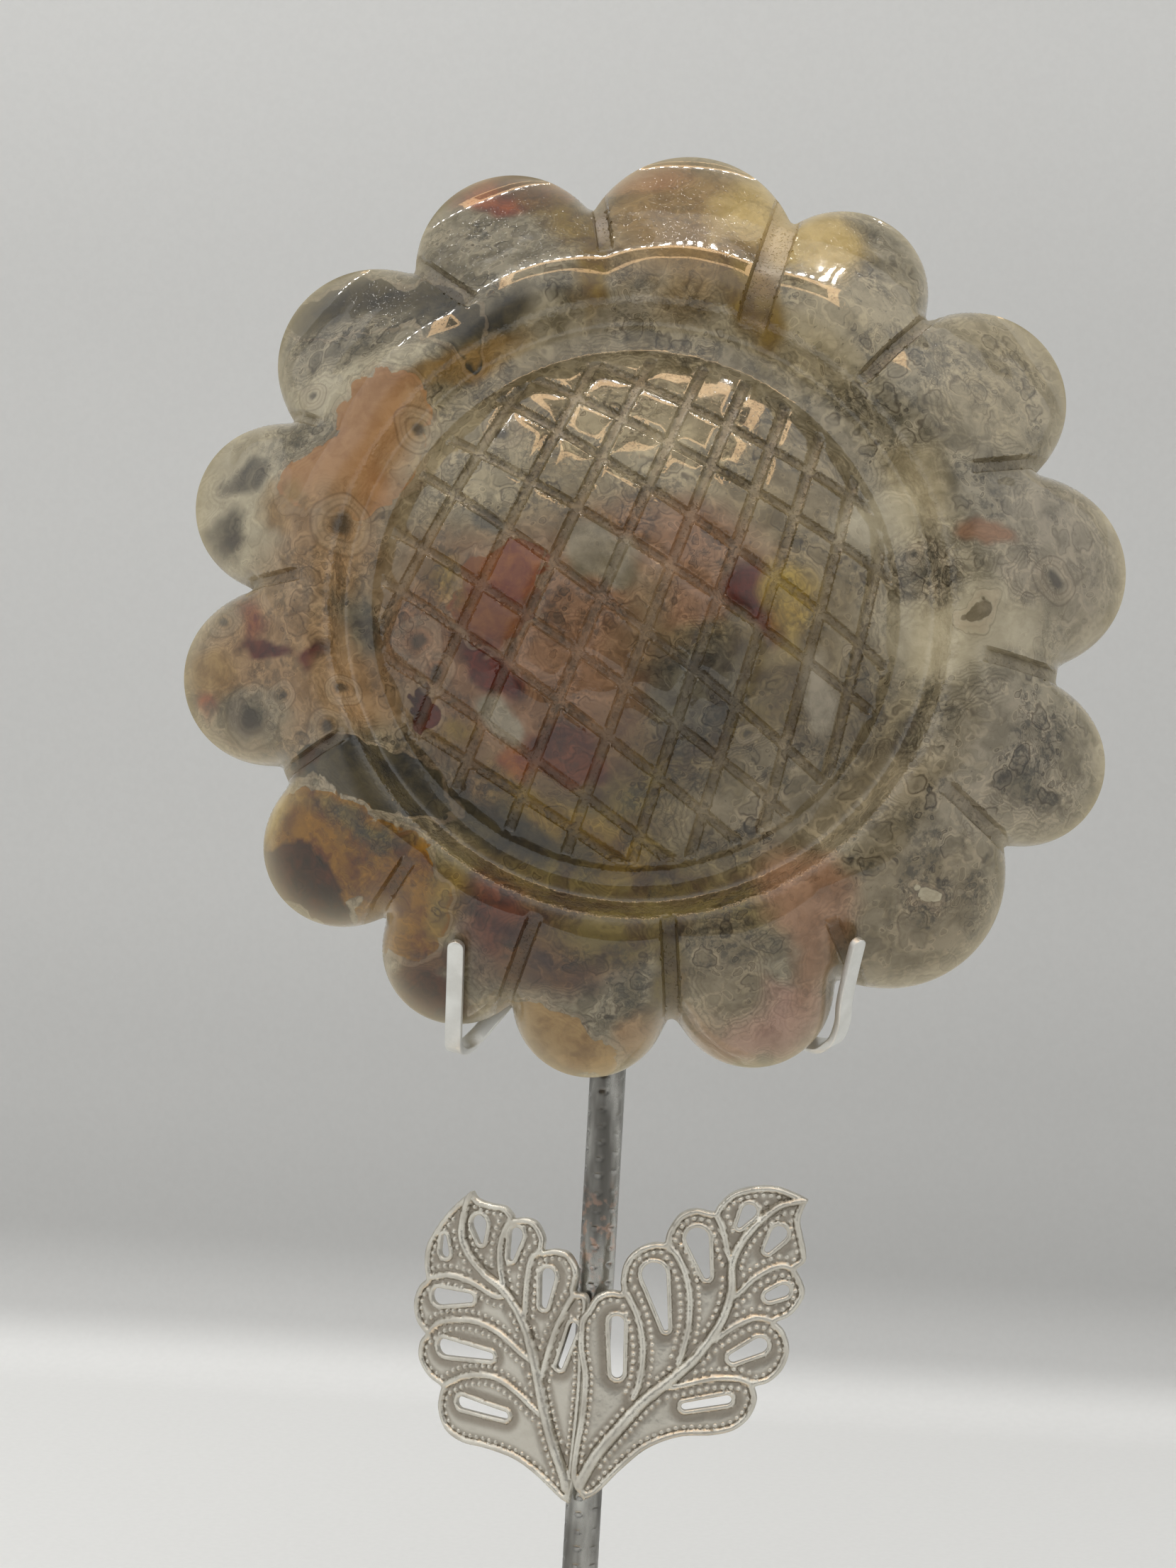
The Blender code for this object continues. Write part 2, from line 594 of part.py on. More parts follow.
def slot_loop(first, second):
    """A rounded slot: two arcs of different radius joined by straight sides."""
    (x0, y0, r0), (x1, y1, r1) = first, second
    length = math.hypot(x1 - x0, y1 - y0)
    heading = math.atan2(y1 - y0, x1 - x0)
    opening = math.acos((r0 - r1) / length)
    loop = []
    for centre_x, centre_y, radius, start, end in (
        (x1, y1, r1, heading - opening, heading + opening),
        (x0, y0, r0, heading + opening, heading + 2 * math.pi - opening),
    ):
        for step in range(SLOT_END_POINTS):
            turn = start + (end - start) * step / (SLOT_END_POINTS - 1)
            loop.append((centre_x + radius * math.cos(turn), centre_y + radius * math.sin(turn)))
    return np.array(loop)


def make_leaf(name, leaf, material):
    """A pierced leaf with a raised midrib and veins, slightly cupped and curled back away from the stem."""
    outline = np.vstack([spline(lobe, LEAF_STEPS_A_SPAN)[:-1] for lobe in leaf["lobes"]])
    loops = [outline] + [slot_loop(*slot) for slot in leaf["slots"]]
    midrib = spline(leaf["midrib"], LEAF_STEPS_A_SPAN)
    veins = [spline(vein, LEAF_STEPS_A_SPAN) for vein in leaf["veins"]]

    def sheet(points):
        out = np.clip(np.abs(points[:, 0]) - LEAF_CURL_FROM, 0, None)
        away = distance_to_line(points, midrib)
        return -LEAF_CURL * out**2 - LEAF_CUP * away**2 * smooth_step(np.abs(points[:, 0]), 2.0, 7.0)

    def front(points):
        rise = MIDRIB_RISE * (1 - smooth_step(distance_to_line(points, midrib), 0.0, MIDRIB_HALF_WIDTH))
        for vein in veins:
            near_vein = 1 - smooth_step(distance_to_line(points, vein), 0.0, VEIN_HALF_WIDTH)
            rise = np.maximum(rise, VEIN_RISE * near_vein)
        return sheet(points) + LEAF_THICKNESS + rise

    lines = []
    for rib, half in [(midrib, MIDRIB_HALF_WIDTH)] + [(vein, VEIN_HALF_WIDTH) for vein in veins]:
        across = np.gradient(rib, axis=0)[:, ::-1] * (-1, 1)
        across /= np.hypot(*across.T)[:, None]
        for side in (-half, 0, half):
            line = rib + side * across
            clear = inside(line, loops)
            for loop in loops:
                clear &= distance_to_line(line, closed(loop)) > RIB_EDGE_CLEARANCE
            lines += [line[i : i + 2] for i in range(len(line) - 1) if clear[i] and clear[i + 1]]
    made = make_plate(name, loops, lines, [midrib], front, sheet, material)
    made.rotation_euler = (math.pi / 2, 0, math.radians(-leaf["turn"]))
    made.location = Vector((0, -leaf["plane"], LEAF_BASE_HEIGHT)) * MM
    return made


def make_material(name, colour, roughness, metallic):
    material = bpy.data.materials.new(name)
    material.use_nodes = True
    shader = material.node_tree.nodes["Principled BSDF"]
    shader.inputs["Base Color"].default_value = (*colour, 1.0)
    shader.inputs["Roughness"].default_value = roughness
    shader.inputs["Metallic"].default_value = metallic
    return material


def main():
    for existing in list(bpy.data.objects):
        bpy.data.objects.remove(existing, do_unlink=True)
    agate = make_material("lace_agate", (0.42, 0.36, 0.28), 0.15, 0.0)
    steel = make_material("stand_metal", (0.55, 0.54, 0.5), 0.35, 1.0)
    make_base(steel)
    make_stem(steel)
    make_strip("holder_strip_left", LEFT_STRIP, steel)
    make_strip("holder_strip_right", RIGHT_STRIP, steel)
    make_leaf("leaf_left", LEFT_LEAF, steel)
    make_leaf("leaf_right", RIGHT_LEAF, steel)
    make_flower(agate)


main()
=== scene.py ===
"""Dresses the lace agate flower and its stand: fine relief, stone markings, chased leaves and soft light.

Sizes are millimetres and angles are degrees. The flower and the leaves are drawn in their own planes: x to
the right, y up, z towards the viewer.
"""

import math

import bmesh
import bpy
import numpy as np
from mathutils import Euler, Matrix, Quaternion, Vector, noise
from mathutils.geometry import delaunay_2d_cdt


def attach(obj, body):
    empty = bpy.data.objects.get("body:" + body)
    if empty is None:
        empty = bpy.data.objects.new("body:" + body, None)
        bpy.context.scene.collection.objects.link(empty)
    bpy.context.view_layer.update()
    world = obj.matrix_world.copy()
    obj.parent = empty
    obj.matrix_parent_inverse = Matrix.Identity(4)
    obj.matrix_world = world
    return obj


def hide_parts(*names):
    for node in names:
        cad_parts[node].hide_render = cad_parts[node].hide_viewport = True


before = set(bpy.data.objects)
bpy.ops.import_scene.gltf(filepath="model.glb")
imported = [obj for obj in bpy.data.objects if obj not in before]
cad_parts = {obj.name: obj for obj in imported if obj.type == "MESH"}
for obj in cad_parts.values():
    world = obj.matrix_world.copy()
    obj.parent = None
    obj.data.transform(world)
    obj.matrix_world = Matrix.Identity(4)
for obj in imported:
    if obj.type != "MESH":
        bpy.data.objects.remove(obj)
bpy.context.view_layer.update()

MM = 0.001
GAP = 0.3

# One fixed seed makes the waves that bend the stone's patches the same in every run
WAVE_SEED = 5
noise.seed_set(WAVE_SEED)

# The stand
BASE_RADIUS = 41.99
BASE_THICKNESS = 4.0
BASE_EDGE = 1.0
STEM_RADIUS = 2.2
STEM_BEND_BELOW_CENTRE = 42.0
STEM_BEND_RADIUS = 25.0
STEM_TOP_ABOVE_CENTRE = 8.0
STRIP_WIDTH = 2.0
STRIP_THICKNESS = 1.0
LEAF_BASE_HEIGHT = 39.0

# Where the flower stands and how it leans
FLOWER_LEAN = 10.0
FLOWER_SHIFT = 2.8
FLOWER_HEIGHT = 147.5
STRIP_PLANE = -0.85
STEM_PLANE = STRIP_PLANE - STRIP_THICKNESS / 2 - GAP - STEM_RADIUS
FLOWER_TURNS = (math.radians(90.0 - FLOWER_LEAN), 0.0, 0.0)

# The petals, each a round lobe: heading round the flower, distance of its centre, radius
PETALS = (
    (10.0, 45.7, 11.9),
    (37.5, 47.0, 11.5),
    (63.5, 46.5, 10.5),
    (88.0, 44.5, 13.5),
    (115.5, 47.0, 12.0),
    (141.0, 46.5, 12.3),
    (167.0, 48.0, 10.5),
    (192.5, 47.5, 10.8),
    (220.0, 47.3, 9.8),
    (242.7, 47.2, 9.2),
    (263.5, 47.5, 9.4),
    (287.5, 46.6, 9.85),
    (315.0, 41.8, 14.3),
    (341.0, 47.7, 10.2),
)
NOTCH_REACH = 49.2
NOTCH_ROUNDING = 0.6
OUTLINE_POINTS = 840
OUTLINE_MARGIN = 0.03

# The relief: a dome, a valley, a step up to the crest of the petals, and their long bevel down to the rim
DOME_CENTRE = (-2.5, -1.1)
DOME_EDGE = 31.5
DOME_TOP = 22.6
DOME_CURVE = 48.7
RING_CENTRED_FROM = 50.0
RING_PROFILE = (
    (31.5, 11.0),
    (33.5, 10.5),
    (35.4, 10.7),
    (37.0, 13.6),
    (39.3, 14.2),
    (41.5, 13.9),
    (43.0, 13.3),
    (44.2, 12.4),
    (46.0, 10.9),
    (50.0, 7.6),
    (54.0, 4.3),
    (57.0, 1.9),
    (60.0, 1.7),
)
PETAL_CROWN = 1.5
PETAL_HALF_ANGLE = 13.0
CROWN_FROM = 37.0
CROWN_FULL = 47.0
RIM_MIDDLE = 1.4
RIM_FLAT = 0.2
RIM_FRONT_ROUND = 2.2
RIM_BACK_ROUND = 1.4

# Grooves between the petals: heading at the rim and at the inner end, inner radius, width, depth
PETAL_GROOVES = (
    (24.0, 26.5, 40.0, 1.8, 1.2),
    (50.5, 50.5, 35.5, 2.0, 1.6),
    (75.4, 74.5, 34.3, 4.0, 1.6),
    (101.0, 101.5, 43.0, 2.2, 1.4),
    (128.0, 124.5, 42.0, 2.4, 1.4),
    (154.5, 154.5, 46.0, 1.6, 1.1),
    (180.0, 179.0, 42.0, 1.8, 1.1),
    (207.5, 207.0, 40.0, 1.8, 1.1),
    (231.0, 230.0, 42.0, 2.0, 1.1),
    (252.0, 252.5, 40.0, 2.0, 1.1),
    (275.5, 275.0, 37.5, 2.2, 1.4),
    (301.5, 301.5, 42.5, 2.0, 1.1),
    (328.8, 329.8, 40.0, 2.1, 1.4),
    (353.5, 353.5, 38.5, 2.1, 1.4),
)
GROOVE_REACH = 56.0
GROOVE_WALL = 0.35
GROOVE_END = 2.0

# The two sets of crossing cuts on the dome: heading of the cut, its distance from the dome's centre
STEEP_CUTS = (
    (64.0, 25.3),
    (68.0, 17.2),
    (69.2, 10.6),
    (70.7, 3.7),
    (72.6, -2.6),
    (74.7, -9.1),
    (76.1, -14.8),
    (78.5, -21.2),
    (79.9, -26.7),
)
SLANTING_CUTS = (
    (-25.2, 23.9),
    (-26.7, 18.2),
    (-32.1, 11.4),
    (-30.1, 5.0),
    (-34.6, -2.8),
    (-32.9, -9.4),
    (-33.4, -15.2),
    (-32.6, -22.1),
    (-30.0, -26.4),
)
STEEP_CUT_WIDTH = 1.7
SLANTING_CUT_WIDTH = 1.5
CUT_DEPTH = 0.75
CUT_WALL = 0.5
CUT_REACH = 30.6
CUT_FADE = 0.6
LIP_ROUND = 1.0
LIP_DROP = 0.12

# Where the stone is dull, rippled or painted: dull in its grooves, with shade painted there too; a pale glow
# painted at its thin rim; painted lighter in its valley to lift the shade there; rippled on the step
GROOVE_DULL_AND_SHADED = 0.8
RIM_GLOW_REACH = 1.4
STEP_RING = 36.4
STEP_HALF = 1.2
VALLEY_RING = 35.2
VALLEY_HALF = 2.6

# Where the flower's mesh has its points: inside the outline, beside the lips of its cuts, and between them
SHOULDER_INSETS = (0.12, 0.3, 0.55, 0.9, 1.35, 1.85, 2.4)
BACK_INSETS = (0.25, 0.7, 1.4)
GROOVE_LINES = (0.15, 0.0, -0.12, -0.24, -0.36, -0.5)
CUT_LINES = (0.3, 0.0, -0.1, -0.2, -0.32)
LINE_SPACING = 0.45
LINE_MARGIN = 0.3
DOME_RINGS = (DOME_EDGE - 0.3, DOME_EDGE, DOME_EDGE + 0.3, CUT_REACH)
RING_DENSITY = 14
SHOULDER_CLEAR = 0.25
NEAREST = 0.1
FRONT_SPACING = 0.54
FRONT_INSET = 2.7
BACK_SPACING = 2.0
BACK_INSET = 2.0
FIELD_HALF = 60.0

# Centre lines of the two holding strips in the flower's own frame, from the stem round the lower edge to the
# tip, with the direction of the strip's width at each point
LEFT_STRIP = (
    ((-3.9, -32.5, STRIP_PLANE), (0.8, -0.6, 0.0)),
    ((-10.2, -41.0, STRIP_PLANE), (0.8, -0.6, 0.0)),
    ((-16.4, -49.0, STRIP_PLANE), (0.8, -0.6, 0.0)),
    ((-19.0, -52.4, -0.65), (0.83, -0.5, 0.1)),
    ((-20.5, -53.9, 0.8), (0.92, -0.35, 0.2)),
    ((-21.3, -53.8, 3.0), (0.97, -0.1, 0.2)),
    ((-21.4, -51.8, 4.9), (0.98, 0.0, 0.21)),
    ((-21.4, -47.7, 7.4), (0.98, 0.0, 0.21)),
    ((-21.4, -42.6, 11.05), (0.98, 0.0, 0.21)),
)
RIGHT_STRIP = (
    ((-1.5, -32.5, STRIP_PLANE), (0.64, 0.77, 0.0)),
    ((7.7, -40.0, STRIP_PLANE), (0.64, 0.77, 0.0)),
    ((16.0, -46.7, STRIP_PLANE), (0.64, 0.77, 0.0)),
    ((21.2, -50.7, -0.85), (0.66, 0.73, -0.1)),
    ((24.0, -50.5, 0.6), (0.74, 0.45, -0.5)),
    ((24.9, -48.4, 3.0), (0.7, 0.2, -0.65)),
    ((24.9, -46.0, 5.6), (0.66, 0.0, -0.75)),
    ((25.2, -43.2, 8.1), (0.64, 0.0, -0.77)),
    ((25.75, -39.6, 11.1), (0.64, 0.0, -0.77)),
)
STRIP_STEPS = 10
STRIP_CORNER_STEPS = 4
STRIP_CORNERS = ((1, 1), (-1, 1), (-1, -1), (1, -1))
STRIP_EASE = 0.2
TIP_STEPS = 5
TIP_SETBACK = 0.05
TIP_BLUNT = 1.02
TIP_THIN = 0.75

# The stem's punched nicks
STEM_STATION = 0.25
STEM_SIDES = 60
NICK_COLUMNS = 6
NICK_PITCH = 2.2
NICK_HALF_WIDTH = 0.8
NICK_SAG = 0.5
NICK_DEPTH = 0.25
NICK_UPPER_EDGE = 0.1
NICK_FIRST_TURN = 0.25
NICK_STAGGER = 0.37
NICK_JITTER = 0.22
NICK_JITTER_TURNS = (12.9, 4.1)
NICKS_FROM = 1.0
NICKS_FULL = 3.0
STEM_BEND_STEPS = 8

FOOT_SIDES = 128
FOOT_EDGE_STEPS = 8
FOOT_EASE = 0.4
FOOT_RINGS = (36.0, 30.0, 22.0, 14.0, 8.0, 4.0)

# Each leaf, in its own plane: the edge of each lobe, the slots as two round ends, the midrib and the veins
RIGHT_LEAF = {
    "lobes": (
        ((0.0, 1.0), (1.7, 2.1), (4.3, 5.0), (7.4, 7.8), (11.2, 9.4), (15.1, 9.7))
        + ((17.8, 10.4), (19.6, 12.0), (20.4, 14.2), (20.0, 15.9)),
        ((20.0, 15.9), (21.8, 16.5), (23.4, 18.2), (24.0, 20.5), (23.3, 22.7), (22.1, 23.9)),
        ((22.1, 23.9), (23.8, 24.7), (25.1, 26.3), (25.5, 27.7), (25.0, 29.1), (24.2, 30.4)),
        ((24.2, 30.4), (25.3, 31.4), (25.3, 32.8), (24.8, 34.7), (24.4, 36.7), (25.2, 39.1)),
        ((25.2, 39.1), (24.1, 39.6), (21.5, 40.5), (18.8, 40.5), (16.1, 39.7), (14.5, 38.2), (13.9, 37.1)),
        ((13.9, 37.1), (13.2, 37.2), (11.5, 37.4), (9.7, 36.6), (8.4, 34.5), (8.1, 33.0)),
        ((8.1, 33.0), (6.6, 32.9), (4.7, 32.0), (3.4, 30.4), (3.0, 28.2), (3.2, 26.8)),
        ((3.2, 26.8), (1.7, 26.9), (0.1, 26.1), (-0.9, 24.4), (-1.7, 23.0), (-1.7, 19.6))
        + ((-1.0, 16.1), (-1.1, 11.4), (-1.6, 6.9), (-1.6, 3.5), (0.0, 1.0)),
    ),
    "slots": (
        ((11.7, 13.2, 0.5), (16.7, 14.2, 0.6)),
        ((17.2, 19.4, 0.6), (20.3, 21.0, 1.0)),
        ((21.2, 27.1, 0.6), (22.8, 27.8, 0.8)),
        ((20.6, 32.8, 0.4), (21.9, 34.8, 1.0)),
        ((17.0, 35.6, 0.3), (18.1, 37.4, 0.9)),
        ((13.4, 29.3, 0.4), (12.0, 33.8, 1.4)),
        ((8.8, 22.6, 0.3), (7.0, 29.1, 1.5)),
        ((3.2, 16.9, 0.7), (2.8, 23.0, 0.9)),
    ),
    "midrib": ((-0.8, 2.6), (1.2, 6.6), (3.8, 10.1), (6.6, 13.6), (9.2, 15.9), (12.3, 18.9))
    + ((14.3, 21.7), (15.8, 24.6), (16.5, 27.9), (16.4, 31.0), (17.5, 33.8), (19.5, 36.3))
    + ((21.9, 38.3), (25.2, 39.1)),
    "veins": (
        ((3.2, 26.9), (4.2, 26.1), (5.6, 22.9), (6.2, 19.3), (5.9, 15.7), (5.3, 13.9)),
        ((8.1, 33.0), (10.0, 31.1), (11.3, 27.6), (11.6, 23.8), (11.1, 20.4), (10.6, 18.5)),
        ((13.9, 37.2), (15.0, 35.0), (15.8, 32.3), (16.4, 30.9)),
        ((20.0, 16.0), (17.9, 16.8), (14.6, 16.7), (10.8, 15.7), (8.9, 15.3)),
        ((22.1, 24.0), (19.7, 24.4), (17.0, 23.2), (14.1, 21.0)),
        ((24.2, 30.4), (22.1, 30.8), (19.4, 29.4), (17.6, 27.6), (16.3, 26.5)),
    ),
    "turn": 0.0,
    "plane": 4.3,
}
LEFT_LEAF = {
    "lobes": (
        ((-1.7, 0.0), (-3.0, 0.6), (-6.2, 2.8), (-9.4, 4.3), (-13.4, 4.9), (-17.2, 5.0))
        + ((-19.9, 6.1), (-21.1, 8.4), (-21.0, 10.2), (-20.7, 11.4)),
        ((-20.7, 11.4), (-23.0, 12.4), (-24.4, 14.4), (-24.2, 16.5), (-23.3, 17.7)),
        ((-23.3, 17.7), (-24.7, 19.1), (-25.2, 21.3), (-24.5, 23.5), (-23.3, 24.7)),
        ((-23.3, 24.7), (-23.7, 27.0), (-23.3, 29.4), (-21.4, 32.5), (-19.3, 34.9), (-17.2, 36.7)),
        ((-17.2, 36.7), (-16.4, 35.8), (-14.4, 35.4), (-12.6, 35.3), (-11.4, 34.3), (-11.4, 33.9)),
        ((-11.4, 33.9), (-9.8, 34.2), (-8.3, 33.8), (-7.1, 32.1), (-7.1, 30.5)),
        ((-7.1, 30.5), (-5.6, 30.9), (-3.7, 30.7), (-2.5, 29.4), (-2.1, 28.1), (-2.4, 26.0)),
        ((-2.4, 26.0), (-1.2, 26.0), (-0.6, 25.2), (-0.6, 23.3), (-0.8, 19.9), (-0.7, 15.7))
        + ((-0.8, 11.6), (-1.1, 6.5), (-1.4, 2.5), (-1.7, 0.0)),
    ),
    "slots": (
        ((-11.0, 9.5, 0.5), (-17.4, 10.0, 0.8)),
        ((-13.5, 16.5, 0.5), (-20.3, 16.5, 1.1)),
        ((-16.8, 23.3, 0.6), (-21.3, 22.8, 1.1)),
        ((-20.7, 28.5, 0.7), (-20.9, 30.3, 0.4)),
        ((-15.6, 30.6, 0.4), (-16.0, 32.7, 1.1)),
        ((-11.3, 29.1, 0.4), (-10.8, 32.0, 0.9)),
        ((-6.5, 23.9, 0.5), (-6.2, 27.5, 1.0)),
        ((-3.9, 16.7, 0.4), (-2.3, 21.7, 0.6)),
    ),
    "midrib": ((-2.1, 2.0), (-2.5, 3.3), (-4.4, 7.5), (-5.8, 11.5), (-6.7, 14.7), (-7.8, 18.2))
    + ((-9.2, 21.6), (-11.9, 24.9), (-14.9, 26.7), (-17.3, 28.9), (-18.4, 31.3))
    + ((-18.0, 34.5), (-17.2, 36.7)),
    "veins": (
        ((-2.3, 26.0), (-3.4, 24.1), (-4.7, 21.1), (-5.7, 17.6), (-6.4, 14.2)),
        ((-6.9, 30.6), (-8.4, 29.5), (-8.9, 27.2), (-9.0, 23.9), (-9.0, 21.4)),
        ((-11.2, 33.9), (-12.3, 32.7), (-12.9, 30.3), (-12.7, 27.6), (-12.0, 25.1)),
        ((-20.5, 11.5), (-17.1, 13.4), (-13.0, 14.0), (-9.8, 12.8), (-7.1, 11.0), (-6.0, 10.3)),
        ((-23.1, 17.8), (-20.7, 19.7), (-16.3, 20.5), (-12.7, 19.7), (-9.4, 17.7), (-7.8, 16.8)),
        ((-23.2, 24.8), (-19.9, 25.7), (-16.5, 25.3), (-13.3, 24.1), (-11.7, 24.3)),
    ),
    "turn": 22.0,
    "plane": 3.1,
}
LEAF_STEPS = 8
LEAF_CURL = 0.004
LEAF_CURL_FROM = 4.0
LEAF_CUP = 0.006
LEAF_CUP_FROM = 2.0
LEAF_CUP_FULL = 7.0
LEAF_FLOOR = 0.6
LEAF_EDGE_ROUND = 0.3
HOLLOW_DEPTH = 0.32
SLOT_END_POINTS = 9
SLOT_RIDGE_RISE = 0.3
SLOT_RIDGE_HALF = 0.3
SLOT_RIDGE_OUT = 0.25
PAD_RISE = 0.2
PAD_FROM = 0.35
PAD_FULL = 1.5
BEAD_ROW = 1.15
BEAD_ROW_STEP = 0.12
BEAD_PITCH = 0.9
BEAD_RADIUS = 0.33
BEAD_RISE = 0.3
BEAD_SLOT_CLEAR = 0.45
BEAD_CIRCLES = ((0.0, 1), (0.55, 5), (0.92, 8))
RIM_RISE = 0.45
RIM_HALF = 0.45
VEIN_RISE = 0.4
VEIN_HALF = 0.4
MIDRIB_RISE = 0.7
MIDRIB_HALF = 0.8
MIDRIB_TIP_PART = 0.55

# Where a leaf's mesh has its points: across its wires, beside its rim and its slots, and between
WIRE_LINES = (0.0, 0.45, 0.8, 1.0)
RIM_LINES = (0.08, 0.22, 0.4, 0.6, 0.85, 1.0)
SLOT_LINES = (0.08, 0.25, 0.45, 0.6)
WIRE_SPACING = 0.25
LEAF_SPACING = 0.3
LEAF_CLEAR = 0.07
LEAF_BACK_SPACING = 0.8
LEAF_BACK_CLEAR = 0.15


def smooth_step(value, low, high):
    """0 below low, 1 above high, and a smooth rise between."""
    part = np.clip((value - low) / (high - low), 0.0, 1.0)
    return part * part * (3.0 - 2.0 * part)


def spline(points, steps):
    """A smooth open curve through points, with this many steps from each to the next."""
    points = np.array(points, float)
    ends = np.concatenate([[2 * points[0] - points[1]], points, [2 * points[-1] - points[-2]]])
    curve = []
    for start in range(len(points) - 1):
        before, here, there, after = ends[start : start + 4]
        for step in range(steps):
            part = step / steps
            curve.append(
                here
                + 0.5 * part * (there - before)
                + part**2 * (before - 2.5 * here + 2 * there - 0.5 * after)
                + part**3 * (1.5 * (here - there) + 0.5 * (after - before))
            )
    curve.append(points[-1])
    return np.array(curve)


def closed(loop):
    return np.vstack([loop, loop[:1]])


def distance_to_line(points, line):
    """Distance from each point to a polyline, both in one plane."""
    best = np.full(len(points), np.inf)
    for start, end in zip(line[:-1], line[1:]):
        along = end - start
        part = np.clip(((points - start) @ along) / max(along @ along, 1e-12), 0.0, 1.0)
        best = np.minimum(best, np.hypot(*(points - start - part[:, None] * along).T))
    return best


def inside(points, loops):
    """Whether each point is inside an odd number of the loops."""
    odd = np.zeros(len(points), bool)
    for loop in loops:
        for (x0, y0), (x1, y1) in zip(loop, np.roll(loop, -1, axis=0)):
            crosses = (y0 > points[:, 1]) != (y1 > points[:, 1])
            if y0 != y1:
                odd ^= crosses & (points[:, 0] < x0 + (points[:, 1] - y0) * (x1 - x0) / (y1 - y0))
    return odd


def spread_out(points, gap):
    """The points in order, less those nearer than the gap to one before them."""
    cells = {}
    kept = []
    for point in points:
        x, y = point
        column, row = int(math.floor(x / gap)), int(math.floor(y / gap))
        near = (
            other
            for i in (column - 1, column, column + 1)
            for j in (row - 1, row, row + 1)
            for other in cells.get((i, j), ())
        )
        if all((x - a) ** 2 + (y - b) ** 2 >= gap * gap for a, b in near):
            cells.setdefault((column, row), []).append((x, y))
            kept.append((x, y))
    return np.array(kept)


def field_of_points(low, high, spacing):
    """Evenly spread points over a rectangle, each row shifted by half a step."""
    rows = np.arange(low[1], high[1], spacing * 0.866)
    field = []
    for index, y in enumerate(rows):
        xs = np.arange(low[0] + (index % 2) * spacing / 2, high[0], spacing)
        field.append(np.c_[xs, np.full(len(xs), y)])
    return np.vstack(field)


def fill(loops, points):
    """Triangles between the loops through the points: all points, faces, and where each loop point went."""
    found = []
    edges = []
    for loop in loops:
        first = len(found)
        found += [Vector(point) for point in loop]
        edges += [(first + i, first + (i + 1) % len(loop)) for i in range(len(loop))]
    rim = len(found)
    found += [Vector(point) for point in points]
    flat, _, faces, origins, _, _ = delaunay_2d_cdt(found, edges, [], 0, 0.001)
    flat = np.array([tuple(point) for point in flat])
    faces = np.array([tuple(face) for face in faces])
    faces = faces[inside(flat[faces].mean(axis=1), loops)]
    place = {source: index for index, sources in enumerate(origins) for source in sources if source < rim}
    return flat, faces, [place[index] for index in range(rim)]


def make_piece(name, points, faces, crease=40.0):
    mesh = bpy.data.meshes.new(name)
    mesh.from_pydata([Vector(point) * MM for point in points], [], [tuple(map(int, face)) for face in faces])
    work = bmesh.new()
    work.from_mesh(mesh)
    loose = [vert for vert in work.verts if not vert.link_faces]
    bmesh.ops.delete(work, geom=loose, context="VERTS")
    bmesh.ops.recalc_face_normals(work, faces=work.faces)
    work.to_mesh(mesh)
    work.free()
    mesh.shade_smooth()
    mesh.set_sharp_from_angle(angle=math.radians(crease))
    made = bpy.data.objects.new(name, mesh)
    bpy.context.scene.collection.objects.link(made)
    return made


def mark(made, name, values):
    """Keeps a value for each point of a piece, for its material to read."""
    attribute = made.data.attributes.new(name, "FLOAT", "POINT")
    attribute.data.foreach_set("value", np.asarray(values, np.float32))


def tint(made, name, colours):
    """Keeps a colour for each point of a piece, for its material to read."""
    attribute = made.data.attributes.new(name, "FLOAT_COLOR", "POINT")
    attribute.data.foreach_set("color", np.c_[colours, np.ones(len(colours))].astype(np.float32).ravel())


def local_points(made):
    flat = np.empty(len(made.data.vertices) * 3, np.float32)
    made.data.vertices.foreach_get("co", flat)
    return flat.reshape(-1, 3) / MM


def plate(name, loops, front_points, back_points, front, back):
    """A closed plate whose outline and holes are the loops, between two heights over its plane."""
    top, top_faces, top_rim = fill(loops, front_points)
    low, low_faces, low_rim = fill(loops, back_points)
    points = np.concatenate([np.c_[top, front(top)], np.c_[low, back(low)]])
    faces = list(top_faces) + list(low_faces[:, ::-1] + len(top))
    first = 0
    for loop in loops:
        for step in range(len(loop)):
            here, there = first + step, first + (step + 1) % len(loop)
            low_here, low_there = low_rim[here] + len(top), low_rim[there] + len(top)
            faces.append((top_rim[here], low_here, low_there, top_rim[there]))
        first += len(loop)
    return make_piece(name, points, faces)


# The flower


def petal_reach(heading):
    """Distance of the outline from the flower's middle, with the notches between lobes a little rounded."""
    total = np.full_like(heading, math.exp((NOTCH_REACH - RING_CENTRED_FROM) / NOTCH_ROUNDING))
    for petal, distance, radius in PETALS:
        turn = (heading - math.radians(petal) + math.pi) % (2 * math.pi) - math.pi
        side = distance * np.sin(turn)
        reaches = (np.abs(side) < radius) & (np.cos(turn) > 0)
        reach = distance * np.cos(turn) + np.sqrt(np.clip(radius**2 - side**2, 0, None))
        total += np.where(reaches, np.exp((reach - RING_CENTRED_FROM) / NOTCH_ROUNDING), 0)
    return RING_CENTRED_FROM + NOTCH_ROUNDING * np.log(total) - OUTLINE_MARGIN


def flower_outline(shrink=0.0, count=OUTLINE_POINTS):
    headings = np.linspace(0, 2 * math.pi, count, endpoint=False)
    reach = petal_reach(headings) - shrink
    return np.c_[reach * np.cos(headings), reach * np.sin(headings)]


def ring_of(points):
    """Which ring a point is on. Small rings are centred on the dome and large ones on the flower."""
    ring = np.hypot(*points.T)
    for _ in range(8):
        pull = 1.0 - smooth_step(ring, DOME_EDGE, RING_CENTRED_FROM)
        ring = np.hypot(points[:, 0] - DOME_CENTRE[0] * pull, points[:, 1] - DOME_CENTRE[1] * pull)
    return ring


